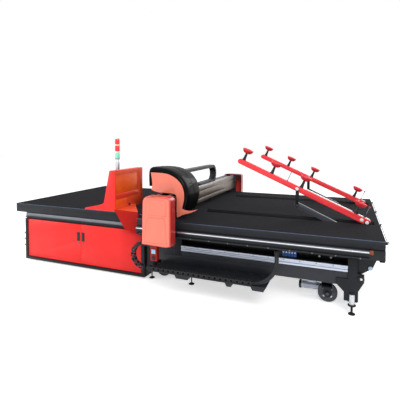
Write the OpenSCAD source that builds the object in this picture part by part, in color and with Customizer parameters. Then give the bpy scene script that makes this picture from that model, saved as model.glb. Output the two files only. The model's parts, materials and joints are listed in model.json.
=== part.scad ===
// Glass cutting machine. A break-out bed with its switch cabinet and desk stands
// at the left, a wider cutting bed with a travelling gantry at the right, and two
// loading arms with suction cups rise out of slots in the cutting bed.
// X runs along the beds, Y across them and Z up from the floor.
// The origin is on the floor, in the middle of the whole machine.

/* [Beds] */
// Height of the felt above the floor
table_h = 900; // [860:5:960]
// Length of the cutting bed
cut_l = 2950; // [2900:10:3600]
// Width of the cutting bed
cut_w = 2860; // [2700:10:3300]
// Length of the break-out bed
break_l = 2450; // [2300:10:3000]
// Width of the break-out bed and of the frame below both beds
break_w = 2360; // [2200:10:2600]
// Thickness of the bed boards
board_t = 30; // [20:1:40]
// Thickness of the felt
felt_t = 6; // [3:1:10]
// Height of the tubes under the boards
joist_h = 100; // [80:5:120]
// Wall of the frame tubes
tube_wall = 4; // [3:0.5:6]

/* [Under frame] */
// Height of the lower side beams
side_beam_h = 230; // [180:5:240]
// Underside of the lower side beams above the floor
side_beam_z = 300; // [280:5:320]
// Width of a leg along the beds
leg_x = 100; // [80:5:120]
// Width of a leg across the beds
leg_y = 120; // [100:5:140]
// Underside of the legs above the floor
leg_z = 130; // [110:5:150]
// Diameter of a levelling foot
foot_d = 80; // [60:5:100]
// Diameter of the stem of a levelling foot
foot_stem_d = 20; // [16:1:30]

/* [Rails] */
// Height of the rail beds
rail_bed_h = 100; // [90:5:110]
// Depth of the rail beds across the machine
rail_bed_w = 70; // [60:5:80]
// Distance that a rail bed stands out past the cutting bed
rail_bed_out = 20; // [15:1:30]
// Height of a gantry rail section
rail_h = 25; // [22:1:30]
// Thickness of a gantry rail section
rail_t = 22; // [20:1:25]
// Running gap between a bearing block and its rail
slide_gap = 0.4; // [0.3:0.1:0.6]
// Module of the rack and its pinions
gear_module = 3; // [2:0.5:4]
// Number of teeth on a pinion
pinion_teeth = 20; // [18:1:24]

/* [Gantry] */
// Width of the gantry beam along the beds
beam_w = 200; // [180:5:240]
// Height of the gantry beam
beam_h = 230; // [200:5:250]
// Gap between the felt and the gantry beam
beam_gap = 70; // [60:5:90]
// Thickness of the end plates of the gantry
end_plate_t = 20; // [15:1:25]
// Length of an end cover along the beds
cover_l = 400; // [390:5:440]
// Depth of an end cover
cover_d = 148; // [140:1:170]
// Height of an end cover
cover_h = 605; // [580:5:620]
// Wall of the moulded covers
cover_wall = 5; // [3:0.5:6]

/* [Carriage] */
// Length of the head cover along the gantry beam
helmet_l = 480; // [440:5:520]
// Thickness of the coloured front plate of the head cover
helmet_plate_t = 12; // [8:1:16]
// Thickness of the saddle plate
saddle_t = 14; // [10:1:16]

/* [Loading arms] */
// Width of an arm tube
arm_w = 60; // [50:2:64]
// Height of an arm tube
arm_h = 70; // [60:2:76]
// Reach of an arm from its pivot to its tip
arm_l = 1820; // [1800:10:1880]
// Tilt of the arms as they stand
arm_tilt = 24; // [20:0.5:30]
// Place of the near arm across the bed
arm_near_y = -580; // [-640:5:-540]
// Place of the far arm across the bed
arm_far_y = 890; // [840:5:930]
// Width of a slot in the bed
slot_w = 190; // [180:2:210]
// Diameter of a suction cup
cup_d = 150; // [120:2:160]
// Height of a cup face above the top of its arm
cup_rise = 160; // [140:2:165]
// Distance between arm pivot and lever pivot
link_l = 220; // [200:5:230]
// Distance from a pivot to its link along arm and lever
link_at = 930; // [880:5:980]
// Running gap round a pin, on the radius
pin_gap = 0.05; // [0.02:0.01:0.09]

/* [Cabinet and desk] */
// Depth of the switch cabinet
cabinet_d = 580; // [500:10:700]
// Clearance of the cabinet above the floor
cabinet_z = 20; // [15:1:40]
// Thickness of a cabinet door
door_t = 16; // [14:1:20]
// Height of the desk above the felt
desk_h = 590; // [560:5:640]
// Depth of the desk across the bed
desk_d = 760; // [700:10:820]

/* [Chains] */
// Height of a link of the long energy chain
x_link_h = 50; // [40:1:54]
// Width of the long energy chain
x_link_w = 56; // [50:1:60]
// Middle bend radius of the long energy chain
x_bend_r = 155; // [150:1:160]
// Height of a link of the beam energy chain
y_link_h = 46; // [36:1:48]
// Width of the beam energy chain
y_link_w = 108; // [50:1:112]
// Middle bend radius of the beam energy chain
y_bend_r = 127; // [124:1:129]

/* [Travel wheels] */
// Diameter of a travel wheel
wheel_d = 220; // [200:2:222]
// Width of a travel wheel
wheel_w = 50; // [40:1:56]
// Diameter of the wheel axles
axle_d = 40; // [35:1:45]

/* [Hidden] */
$fn = 48;
eps = 0.5;
// gap between neighbouring tubes and panels, filled by a weld or a seam
seam = 0.3;

// ends and joint of the two beds, with the bar at the right-hand end counted in
edge_bar_out = 45;
x_left = -(break_l + cut_l + edge_bar_out) / 2;
x_joint = x_left + break_l;
x_right = x_joint + cut_l;
board_top = table_h - felt_t;
board_z = board_top - board_t;
joist_z = board_z - joist_h;
frame_y = break_w / 2;
cut_y = cut_w / 2;

// rail beds hang below the edge tubes of the cutting bed
edge_tube_h = 64;
rail_bed_z = board_z - edge_tube_h - rail_bed_h;
rail_bed_top = rail_bed_z + rail_bed_h;
rail_bed_y = cut_y + rail_bed_out;
rail_z = rail_bed_z + 68;
rail_y = rail_bed_y + rail_t;
rail_x0 = x_joint + 10;
rail_x1 = x_right - 150;

// rack and pinion
pitch_r = gear_module * pinion_teeth / 2;
rack_h = 18;
rack_w = 22;
rack_pitch_z = rail_bed_z + 2.5;
pinion_z = rack_pitch_z - pitch_r;
gear_backlash = 0.5;

// gantry
beam_x0 = x_joint + 270;
beam_x1 = beam_x0 + beam_w;
beam_z = table_h + beam_gap;
beam_top = beam_z + beam_h;
plate_y = rail_y + 16;
cover_y = plate_y + end_plate_t + 4;
cover_x0 = x_joint + 205;
cover_x1 = cover_x0 + cover_l;
cover_z = table_h - 265;
pinion_x = beam_x0 + 60;
pinion_shaft_r = 15;

// carriage
saddle_gap = 18;
beam_rail_h = 22;
saddle_z = beam_top + beam_rail_h + saddle_gap;
saddle_top = saddle_z + saddle_t;
cover_cut_z = saddle_top + 60;
helmet_y0 = -cut_y + 140;
helmet_y1 = helmet_y0 + helmet_l;
head_y = (helmet_y0 + helmet_y1) / 2;
head_plate_x = beam_x1 + 30;

// loading arms: the pivot of the arms and, straight below it, that of the levers
arm_pivot_x = x_right - 140;
arm_pivot_z = table_h + 10;
arm_ys = [arm_near_y, arm_far_y];
pin_r = 12;
shaft_r = 20;
cup_stations = [1750, 1320, 890, 160];
feeler_stations = [[1090, 50], [50]];
slot_x0 = x_joint + 650;
slot_x1 = x_right - 55;
cross_tube_x = 150;
cross_tube_z = 60;
cradle_z = arm_pivot_z - link_l - 90;
column_r = 16;
column_x = arm_pivot_x + 48;
column_ys = [-150, 600];
lift_plate_z = side_beam_z + 2;
lift_y = 150;
lift_rod_r = 10;
lift_body_r = 30;
lift_body_h = 250;

// travel wheels hang just clear of the floor while the feet carry the machine
wheel_lift = 3;
// clearance of a part that is keyed or pinned to its shaft
key_gap = 0.03;
wheel_z = wheel_d / 2 + wheel_lift;
wheel_y = frame_y - 200;
drive_wheel_x = x_right - 576;
idle_wheel_x = x_joint + 170;
wheel_beam_h = 60;
wheel_beam_w = 120;
wheel_beam_z = side_beam_z - wheel_beam_h;

// legs: left, middle and right pair of the cutting bed
outrigger_h = 100;
leg_top = joist_z - outrigger_h;
leg_xs = [x_joint, x_joint + 437, x_right - 355];
foot_ear = 158;
foot_edge = 40;
break_x1 = x_joint - seam;
break_tube = 60;
break_bays = 4;
break_pitch = (break_x1 - x_left - break_tube) / break_bays;
break_leg = 80;
break_leg_xs = [x_left + break_pitch, break_x1 - break_leg];
foot_h = 14;
gusset_t = 12;

// cabinet and its two doors
cab_x0 = x_left + 220;
cab_x1 = x_joint - 20;
cab_y0 = -frame_y;
cab_wall = 4;
cab_lip = 28;
trim_t = 10;
trim_h = 58;
door_gap = 4;
door_z0 = cabinet_z + 50;
door_z1 = joist_z - 100;
door_y = cab_y0 - 4;
door_x0 = cab_x0 + 60;
door_x1 = cab_x1 - 60;
door_mid = (door_x0 + door_x1) / 2;
hinge_r = 5;

break_leg_ys = [cab_y0 + cabinet_d + 20, frame_y - break_leg - 20];

// desk
desk_x1 = x_joint - 516;
desk_y0 = -frame_y - 5;
desk_top = table_h + desk_h;
button_y = desk_y0 + 370;
button_z = table_h + 55;
button_r = 9;
panel_y0 = desk_y0 + 20;
panel_y1 = desk_y0 + desk_d - 129;
panel_z0 = table_h + 245;
panel_z1 = desk_top - 52;
panel_gap = 0.5;

// chain tray in front of the frame
tray_y = -(plate_y + end_plate_t + 37);
tray_x0 = x_joint + 267;
tray_x1 = x_joint + 1750;
chain_x1 = tray_x1 - 160;
tray_z = 280;
tray_t = 4;
loop_x = x_joint + 175;
loop_z = tray_z + tray_t + 0.5 + x_link_h / 2 + x_bend_r;

// route of the corrugated hose from the tray to the valve bank
chain_gap = 0.3;
hose_d = 50;
hose_points = [
    [1317.8, -1545, 309.5], [1338, -1545, 309.5], [1368, -1545, 315], [1403, -1545, 327], [1443, -1545, 345],
    [1482, -1545, 371], [1517, -1545, 402], [1546, -1545, 438], [1568, -1544, 478], [1582, -1540, 521],
    [1588, -1530, 565], [1586, -1508, 604], [1579, -1476, 633], [1569, -1436, 650], [1561, -1391, 655],
    [1555, -1345, 649], [1551, -1300, 636], [1550, -1262, 621], [1550, -1234, 611.5], [1550, -1218, 610],
    [1550, -1202.3, 610]
];
hose_end = hose_points[len(hose_points) - 1];

// ---- shared shapes ----

// block between two corners
module block(x0, x1, y0, y1, z0, z1) {
    translate([x0, y0, z0]) cube([x1 - x0, y1 - y0, z1 - z0]);
}

// rectangular tube along X between x0 and x1
module tube_x(x0, x1, y0, y1, z0, z1, t = tube_wall) {
    difference() {
        block(x0, x1, y0, y1, z0, z1);
        block(x0 - eps, x1 + eps, y0 + t, y1 - t, z0 + t, z1 - t);
    }
}

// rectangular tube along Y between y0 and y1
module tube_y(x0, x1, y0, y1, z0, z1, t = tube_wall) {
    difference() {
        block(x0, x1, y0, y1, z0, z1);
        block(x0 + t, x1 - t, y0 - eps, y1 + eps, z0 + t, z1 - t);
    }
}

// rectangular tube along Z between z0 and z1
module tube_z(x0, x1, y0, y1, z0, z1, t = tube_wall) {
    difference() {
        block(x0, x1, y0, y1, z0, z1);
        block(x0 + t, x1 - t, y0 + t, y1 - t, z0 - eps, z1 + eps);
    }
}

// flat XZ outline made solid between two places across the machine
module xz_prism(y0, y1) {
    translate([0, y1, 0]) rotate([90, 0, 0]) linear_extrude(y1 - y0) children();
}

// cylinder along Y
module rod_y(x, z, y0, y1, r) {
    translate([x, y1, z]) rotate([90, 0, 0]) cylinder(h = y1 - y0, r = r);
}

// cylinder along X
module rod_x(y, z, x0, x1, r) {
    translate([x0, y, z]) rotate([0, 90, 0]) cylinder(h = x1 - x0, r = r);
}

// cylinder along Z
module rod_z(x, y, z0, z1, r) {
    translate([x, y, z0]) cylinder(h = z1 - z0, r = r);
}

// the same thing at the front and, mirrored, at the back
module both_sides() {
    children();
    mirror([0, 1, 0]) children();
}

// points on an arc, from one angle to another
function arc(cx, cz, r, a0, a1, n = 8) =
    [for (i = [0:n]) [cx + r * cos(a0 + (a1 - a0) * i / n), cz + r * sin(a0 + (a1 - a0) * i / n)]];

// ---- beds ----

// panels of the cutting bed: long ones beside the two arm slots, short ones at the slots' ends
module bed_panels(z0, z1) {
    half = slot_w / 2;
    edges = [-cut_y, arm_near_y - half, arm_near_y + half, arm_far_y - half, arm_far_y + half, cut_y];
    for (i = [0, 2, 4]) block(x_joint, x_right, edges[i], edges[i + 1], z0, z1);
    for (i = [1, 3]) {
        block(x_joint, slot_x0, edges[i] + seam, edges[i + 1] - seam, z0, z1);
        block(slot_x1, x_right, edges[i] + seam, edges[i + 1] - seam, z0, z1);
    }
}

module break_board() {
    color("dimgray") block(x_left, break_x1, -frame_y, frame_y, board_z, board_top);
}

module break_felt() {
    color("#3a3a3e") block(x_left, break_x1, -frame_y, frame_y, board_top, table_h);
}

// edge tubes all round with cross tubes between them
module break_frame() {
    w = break_tube;
    color("#4b4b50") {
        both_sides() tube_x(x_left, break_x1, -frame_y, -frame_y + w, joist_z, board_z);
        for (i = [0:break_bays]) {
            x = x_left + i * break_pitch;
            tube_y(x, x + w, -frame_y + w + seam, frame_y - w - seam, joist_z, board_z);
        }
    }
}

module cut_board() {
    color("dimgray") bed_panels(board_z, board_top);
}

module cut_felt() {
    color("#3a3a3e") bed_panels(board_top, table_h);
}

// edge tubes on the rail beds, joists beside the slots and the beams that carry them
module cut_frame() {
    edge_w = 50;
    joist_w = 50;
    beam_x = 50;
    rail_in = rail_bed_y - rail_bed_w;
    joist_ys = [
        -frame_y + 10, arm_near_y - slot_w / 2 - 70, arm_near_y + slot_w / 2 + 20,
        (arm_near_y + arm_far_y) / 2, arm_far_y - slot_w / 2 - 70, frame_y - 60
    ];
    color("#46464a") {
        both_sides() tube_x(x_joint, x_right, -cut_y, -cut_y + edge_w, rail_bed_top, board_z);
        for (y = joist_ys) tube_x(x_joint, x_right, y, y + joist_w, joist_z, board_z);
        for (x = [x_joint, x_right - beam_x]) {
            tube_y(x, x + beam_x, -rail_in, rail_in, leg_top, joist_z - seam);
        }
        for (i = [1:2]) {
            both_sides() {
                tube_y(leg_xs[i], leg_xs[i] + leg_x, -rail_in, -frame_y + leg_y, leg_top, joist_z - seam);
            }
        }
    }
}

// box sections that carry rail and rack along both sides of the cutting bed
module rail_beds() {
    color("silver") both_sides() {
        tube_x(x_joint, x_right, -rail_bed_y, -rail_bed_y + rail_bed_w, rail_bed_z, rail_bed_top);
    }
}

// rail section with its two running grooves, standing on the outer face of the bed
module rail_section(w, h) {
    groove = 3;
    difference() {
        square([w, h]);
        for (y = [0, h]) translate([w * 0.45, y]) circle(groove);
    }
}

module gantry_rails() {
    color("gainsboro") both_sides() {
        translate([rail_x0, -rail_y, rail_z]) rotate([90, 0, 90])
            linear_extrude(rail_x1 - rail_x0) rail_section(rail_t, rail_h);
    }
}

// straight rack with its teeth pointing down
module gear_racks() {
    pitch = PI * gear_module;
    count = floor((rail_x1 - rail_x0) / pitch);
    tip = rack_pitch_z - gear_module;
    root = rack_pitch_z + 1.25 * gear_module;
    half_tip = pitch / 4 - gear_module * tan(20) - gear_backlash / 4;
    half_root = pitch / 4 + 1.25 * gear_module * tan(20) - gear_backlash / 4;
    // a gap between two teeth stands over the pinion
    shift = (pinion_x - rail_x0) % pitch + pitch / 2;
    tooth = [[-half_root, root], [-half_tip, tip], [half_tip, tip], [half_root, root]];
    profile = concat(
        [[rail_x0 + count * pitch, rack_pitch_z + rack_h], [rail_x0, rack_pitch_z + rack_h], [rail_x0, root]],
        [for (i = [0:count - 2], p = tooth) [rail_x0 + shift + i * pitch + p[0], p[1]]],
        [[rail_x0 + count * pitch, root]]
    );
    color("gray") both_sides() {
        xz_prism(-rail_bed_y - rack_w, -rail_bed_y) polygon(profile);
    }
}

// ---- under frame ----

// lower side beams between the legs, and a low cross beam at each pair of legs
module side_beams() {
    cross_h = 110;
    color("#4b4b50") {
        both_sides() {
            for (i = [0:1]) {
                tube_x(leg_xs[i] + leg_x, leg_xs[i + 1], -frame_y, -frame_y + leg_y, side_beam_z,
                    side_beam_z + side_beam_h);
            }
        }
        for (x = leg_xs) {
            tube_y(x, x + leg_x, -frame_y + leg_y + seam, frame_y - leg_y - seam, side_beam_z,
                side_beam_z + cross_h);
        }
    }
}

// sheets that close the machine between the side beams and the bed, set back to the legs' inner faces
module closing_panels() {
    t = 3;
    y1 = -frame_y + leg_y;
    color("#2c2c30") both_sides() {
        for (i = [0:1]) {
            block(leg_xs[i] + leg_x, leg_xs[i + 1], y1 - t, y1, side_beam_z + side_beam_h, board_z);
        }
    }
}

// aluminium cable duct with two ridges along the face of each side beam
module cable_profiles() {
    depth = 22;
    height = 70;
    ridge = 8;
    z0 = side_beam_z + side_beam_h - height;
    color("gainsboro") both_sides() {
        translate([leg_xs[1] + leg_x, -frame_y - depth, z0]) rotate([90, 0, 90])
            linear_extrude(leg_xs[2] - leg_xs[1] - leg_x)
                polygon([
                    [depth, 0], [depth, height], [0, height], [0, height * 0.68], [ridge, height * 0.6],
                    [ridge, height * 0.4], [0, height * 0.32], [0, 0]
                ]);
    }
}

// upright legs of both beds
module frame_legs() {
    color("#46464a") {
        both_sides() {
            for (x = leg_xs) tube_z(x, x + leg_x, -frame_y, -frame_y + leg_y, leg_z, leg_top);
        }
        for (x = break_leg_xs, y = break_leg_ys) {
            tube_z(x, x + break_leg, y, y + break_leg, leg_z, joist_z);
        }
    }
}

// foot plates under the legs, the middle ones with an ear for an outboard foot
module leg_plates() {
    plate_t = 12;
    z0 = leg_z - plate_t;
    stem_r = foot_stem_d / 2;
    color("#3c3c40") {
        for (i = [0:2]) {
            x = leg_xs[i];
            x1 = x + leg_x + (i == 1 ? foot_ear : 0);
            fx = i == 1 ? x1 - foot_edge : x + leg_x / 2;
            both_sides() difference() {
                block(x, x1, -frame_y, -frame_y + leg_y, z0, leg_z);
                rod_z(fx, -frame_y + leg_y / 2, z0 - eps, leg_z + eps, stem_r);
            }
        }
        for (x = break_leg_xs, y = break_leg_ys) difference() {
            block(x, x + break_leg, y, y + break_leg, z0, leg_z);
            rod_z(x + break_leg / 2, y + break_leg / 2, z0 - eps, leg_z + eps, stem_r);
        }
    }
}

// tapered plates on the right-hand legs and corner plates at the bed's end
module end_gussets() {
    t = gusset_t;
    hole_r = 12;
    inner_y = -frame_y + 10;
    x = leg_xs[2];
    x1 = x + leg_x;
    color("#46464a") both_sides() {
        xz_prism(-frame_y - t, -frame_y) polygon([
            [x - 120, side_beam_z + 80], [x - 120, side_beam_z + 10], [x - 40, side_beam_z - 70],
            [x - 40, leg_z], [x1 + 10, leg_z], [x1 + 10, side_beam_z - 50],
            [x1 + 70, side_beam_z + 60], [x1 + 70, side_beam_z + 150], [x1, side_beam_z + 150],
            [x1, leg_top], [x, leg_top], [x, side_beam_z + 80]
        ]);
        difference() {
            xz_prism(inner_y, inner_y + t) polygon([
                [x1, joist_z - 90], [x_right - 70, joist_z - 90], [x_right - 60, joist_z - 140],
                [x_right - 100, joist_z - 240], [x1 + 40, joist_z - 320], [x1, joist_z - 320]
            ]);
            rod_y(x_right - 124, joist_z - 240, inner_y - eps, inner_y + t + eps, hole_r);
        }
    }
}

// pad, stem and lock nut of one levelling foot
module foot(x, y, top) {
    nut_r = 17;
    nut_h = 12;
    rod_z(x, y, 0, foot_h, foot_d / 2);
    rod_z(x, y, foot_h, top, foot_stem_d / 2);
    translate([x, y, top]) cylinder(h = nut_h, r = nut_r, $fn = 6);
}

module levelling_feet() {
    color("#2c2c30") {
        both_sides() {
            foot(leg_xs[0] + leg_x / 2, -frame_y + leg_y / 2, leg_z);
            foot(leg_xs[1] + leg_x + foot_ear - foot_edge, -frame_y + leg_y / 2, leg_z);
        }
        for (x = break_leg_xs, y = break_leg_ys) foot(x + break_leg / 2, y + break_leg / 2, leg_z);
    }
}

// white lifting jacks under the right-hand legs: cylinder, collar, rod and pad
module lift_jacks() {
    body_r = 29;
    body_h = 112;
    stand = 34;
    half = 25;
    x = leg_xs[2] + leg_x / 2 - 5;
    y = -frame_y - gusset_t - stand;
    collar_z = leg_z - 34;
    body_z = leg_z - 18;
    color("white") both_sides() {
        rod_z(x, y, body_z, body_z + body_h, body_r);
        block(x - half, x + half, y + stand / 2, y + stand, leg_z, leg_z + 80);
    }
    color("#2c2c30") both_sides() {
        rod_z(x, y, collar_z, body_z, body_r + 15);
        rod_z(x, y, foot_h, collar_z, 12);
        rod_z(x, y, 0, foot_h, 38);
    }
}

// low cross beams that carry the travel wheels
module wheel_beams() {
    color("#4b4b50") for (x = [idle_wheel_x, drive_wheel_x]) {
        tube_y(x - wheel_beam_w / 2, x + wheel_beam_w / 2, -frame_y, frame_y, wheel_beam_z, side_beam_z);
    }
}

// two bored plates beside each wheel
module axle_brackets() {
    t = 14;
    side = wheel_w / 2 + 6;
    half = 50;
    color("#46464a") for (x = [idle_wheel_x, drive_wheel_x]) {
        for (wy = [-wheel_y, wheel_y], s = [-1, 1]) {
            y0 = s < 0 ? wy - side - t : wy + side;
            difference() {
                union() {
                    block(x - half, x + half, y0, y0 + t, wheel_z, wheel_beam_z);
                    rod_y(x, wheel_z, y0, y0 + t, half);
                }
                rod_y(x, wheel_z, y0 - eps, y0 + t + eps, axle_d / 2 + pin_gap);
            }
        }
    }
}

// gear motor that turns the driven axle through its hollow output shaft
module travel_motor() {
    y0 = -wheel_y + wheel_w / 2 + 40;
    box_w = 90;
    x = drive_wheel_x;
    motor_z = wheel_z + 14;
    motor_r = 48;
    motor_l = 245;
    color("silver") {
        difference() {
            block(x - 70, x + 60, y0, y0 + box_w, wheel_z - 55, wheel_beam_z);
            rod_y(x, wheel_z, y0 - eps, y0 + box_w + eps, axle_d / 2 + pin_gap);
        }
        rod_x(y0 + box_w / 2, motor_z, x - 70 - motor_l, x - 70, motor_r);
        rod_x(y0 + box_w / 2, motor_z, x - 100 - motor_l, x - 70 - motor_l, motor_r + 4);
    }
}

// wheel with its hub; the rim stands a little proud of the web
module travel_wheel(x, y) {
    web = 6;
    difference() {
        rod_y(x, wheel_z, y - wheel_w / 2, y + wheel_w / 2, wheel_d / 2);
        for (s = [-1, 1]) {
            difference() {
                rod_y(x, wheel_z, y + s * wheel_w / 2 - web, y + s * wheel_w / 2 + web, wheel_d / 2 - 22);
                rod_y(x, wheel_z, y - wheel_w, y + wheel_w, 38);
            }
        }
        rod_y(x, wheel_z, y - wheel_w, y + wheel_w, axle_d / 2 + key_gap);
    }
}

module wheel_set(x) {
    axle_end = wheel_y + wheel_w / 2 + 40;
    travel_wheel(x, -wheel_y);
    travel_wheel(x, wheel_y);
    rod_y(x, wheel_z, -axle_end, axle_end, axle_d / 2);
}

module drive_wheels() {
    color("gray") wheel_set(drive_wheel_x);
}

module idle_wheels() {
    color("gray") wheel_set(idle_wheel_x);
}

// ---- switch cabinet ----

// pivot place of a door, on its outer edge
function hinge_x(side) = side < 0 ? door_x0 + door_t / 2 : door_x1 - door_t / 2;

module cabinet_shell() {
    open_x0 = door_x0 + cab_lip / 2;
    open_x1 = door_x1 - cab_lip / 2;
    lug = 18;
    y1 = cab_y0 + cabinet_d;
    color("#1f1f22") {
        difference() {
            block(cab_x0, cab_x1, cab_y0, y1, cabinet_z, joist_z);
            block(cab_x0 + cab_wall, cab_x1 - cab_wall, cab_y0 + cab_wall, y1 - cab_wall,
                cabinet_z + cab_wall, joist_z - cab_wall);
            block(open_x0, open_x1, cab_y0 - eps, cab_y0 + cab_wall + eps, door_z0 + 12, door_z1 - 12);
        }
        for (side = [-1, 1], z = [door_z0 - 14, door_z1 + 4]) difference() {
            block(hinge_x(side) - lug / 2, hinge_x(side) + lug / 2, door_y - door_t, cab_y0, z, z + 10);
            rod_z(hinge_x(side), door_y - door_t / 2, z - eps, z + 10 + eps, hinge_r + pin_gap);
        }
        for (x = [cab_x0 + 60, cab_x1 - 60], y = [cab_y0 + 60, y1 - 60]) {
            rod_z(x, y, 0, cabinet_z, 25);
        }
    }
}

// bright strip along the top of the cabinet front
module cabinet_trim() {
    color("silver") block(cab_x0, cab_x1 - 5, cab_y0 - trim_t, cab_y0, joist_z - trim_h - 6, joist_z - 6);
}

// mounting plate with drives, breakers and wiring ducts
module cabinet_plate() {
    y1 = cab_y0 + cabinet_d - cab_wall;
    plate_t = 3;
    stand = 30;
    x0 = cab_x0 + 120;
    x1 = cab_x1 - 120;
    z0 = cabinet_z + 60;
    z1 = joist_z - 60;
    face = y1 - stand - plate_t;
    color("goldenrod") {
        block(x0, x1, face, face + plate_t, z0, z1);
        for (x = [x0 + 40, x1 - 40], z = [z0 + 40, z1 - 40]) rod_y(x, z, face + plate_t, y1, 8);
    }
    color("whitesmoke") for (i = [0:3]) {
        block(x0 + 120 + i * 230, x0 + 250 + i * 230, face - 170, face, z0 + 60, z0 + 300);
    }
    color("dimgray") for (i = [0:9]) {
        block(x0 + 1120 + i * 36, x0 + 1150 + i * 36, face - 75, face, z0 + 330, z0 + 420);
    }
    color("lightgray") {
        block(x0 + 60, x1 - 60, face - 60, face, z0 + 450, z0 + 500);
        block(x0 + 1120, x1 - 120, face - 110, face, z0 + 60, z0 + 230);
    }
}

// three cable glands on the left-hand wall of the cabinet
module cable_glands() {
    y = cab_y0 + 30;
    nut = 15;
    gland_l = 85;
    color("lightgray") for (z = [222, 320, 418]) {
        rod_x(y, z, cab_x0 - nut, cab_x0, 26);
        rod_x(y, z, cab_x0 - gland_l, cab_x0 - nut, 18);
    }
}

// folded sheet door with a recessed pull and a pivot rod in its outer edge
module door(side) {
    skin = 3;
    pull_w = 46;
    pull_h = 124;
    pull_x = 18;
    pull_at = 0.68;
    x0 = side < 0 ? door_x0 : door_mid + door_gap / 2;
    x1 = side < 0 ? door_mid - door_gap / 2 : door_x1;
    px = side < 0 ? x1 - pull_x - pull_w : x0 + pull_x;
    pz = door_z0 + (door_z1 - door_z0) * pull_at - pull_h / 2;
    y0 = door_y - door_t;
    edge = door_t;
    difference() {
        union() {
            difference() {
                block(x0, x1, y0, door_y, door_z0, door_z1);
                block(x0 + edge, x1 - edge, y0 + skin, door_y + eps, door_z0 + edge, door_z1 - edge);
            }
            block(px - skin, px + pull_w + skin, y0, door_y, pz - skin, pz + pull_h + skin);
        }
        block(px, px + pull_w, y0 - eps, door_y - skin, pz, pz + pull_h);
    }
    rod_z(hinge_x(side), y0 + door_t / 2, door_z0 - 13, door_z0, hinge_r);
    rod_z(hinge_x(side), y0 + door_t / 2, door_z1, door_z1 + 13, hinge_r);
}

module door_left() {
    color("#d8342c") door(-1);
}

module door_right() {
    color("#d8342c") door(1);
}

// ---- desk ----

// side outline of the desk, wide at its foot; the fin sweeps out to the left
function desk_outline(fin) = concat(
    [[desk_x1, table_h], [desk_x1, desk_top], [desk_x1 - 95, desk_top]],
    fin ? [
        [desk_x1 - 196, table_h + 123], [desk_x1 - 225, table_h + 96], [desk_x1 - 303, table_h + 74],
        [desk_x1 - 450, table_h + 42], [desk_x1 - 528, table_h + 24], [desk_x1 - 541, table_h + 8],
        [desk_x1 - 535, table_h]
    ] : [[desk_x1 - 196, table_h + 123], [desk_x1 - 205, table_h]]
);

// hollow desk, open at its foot, with a pocket for the panel and a hole for the knob
module desk_body() {
    fin_t = 12;
    wall = 4;
    y1 = desk_y0 + desk_d;
    pocket_d = 14;
    color("#e2231a") {
        difference() {
            union() {
                xz_prism(desk_y0, y1) polygon(desk_outline(false));
                xz_prism(desk_y0, desk_y0 + fin_t) polygon(desk_outline(true));
                xz_prism(y1 - fin_t, y1) polygon(desk_outline(true));
            }
            xz_prism(desk_y0 + fin_t, y1 - fin_t) polygon([
                [desk_x1 - pocket_d - wall, table_h - eps], [desk_x1 - pocket_d - wall, desk_top - wall],
                [desk_x1 - 90, desk_top - wall], [desk_x1 - 190, table_h + 123],
                [desk_x1 - 200, table_h - eps]
            ]);
            block(desk_x1 - pocket_d, desk_x1 + eps, panel_y0, panel_y1, panel_z0, panel_z1);
            rod_x(button_y, button_z, desk_x1 - 60, desk_x1 + eps, button_r + slide_gap);
        }
    }
}

// screen panel in its pocket
module desk_panel() {
    g = panel_gap;
    color("orangered") {
        block(desk_x1 - 14, desk_x1 - 4, panel_y0 + g, panel_y1 - g, panel_z0 + g, panel_z1 - g);
    }
}

// chute that sweeps from the foot of the desk over the edge of the bed and down
module desk_bracket() {
    x = desk_x1;
    z = table_h;
    slab = 2;
    edge = -frame_y - 12;
    rear = edge - 10;
    front = rear - 88;
    color("#c81e16") {
        // apron on the felt
        hull() {
            block(x + seam, x + seam + slab, desk_y0, desk_y0 + 530, z, z + 34);
            block(x + seam, x + 385, rear, edge, z, z + 28);
        }
        // duct in front of the bed
        hull() {
            xz_prism(rear - slab, rear) polygon([
                [x + 20, z + 24], [x + 385, z + 28], [x + 426, z - 80], [x + 398, z - 222], [x + 186, z - 222]
            ]);
            xz_prism(front, front + slab) polygon([
                [x + 74, z + 34], [x + 206, z + 48], [x + 446, z - 212], [x + 240, z - 220]
            ]);
        }
    }
}

// push knob: head outside the desk, stem through its hole
module stop_knob() {
    head_r = 16;
    head_t = 14;
    stand = 6;
    color("darkred") {
        rod_x(button_y, button_z, desk_x1 + stand, desk_x1 + stand + head_t, head_r);
        rod_x(button_y, button_z, desk_x1 - 40, desk_x1 + stand, button_r);
    }
}

// stack of lamps on a pole, from the base up
module light_tower() {
    x = desk_x1 - 50;
    y = desk_y0 + 140;
    lamp_r = 35;
    parts = [
        [28, 8, "silver"], [14, 150, "white"], [lamp_r, 20, "gray"], [lamp_r, 80, "mediumaquamarine"],
        [lamp_r, 20, "white"], [lamp_r, 83, "red"], [lamp_r, 18, "wheat"], [lamp_r, 80, "red"],
        [lamp_r - 5, 25, "whitesmoke"]
    ];
    for (i = [0:len(parts) - 1]) {
        z = desk_top + (i > 0 ? sum_heights(parts, i - 1) : 0);
        color(parts[i][2]) rod_z(x, y, z, z + parts[i][1], parts[i][0]);
    }
}

function sum_heights(list, last) = list[last][1] + (last > 0 ? sum_heights(list, last - 1) : 0);

// ---- chains and services ----

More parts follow.
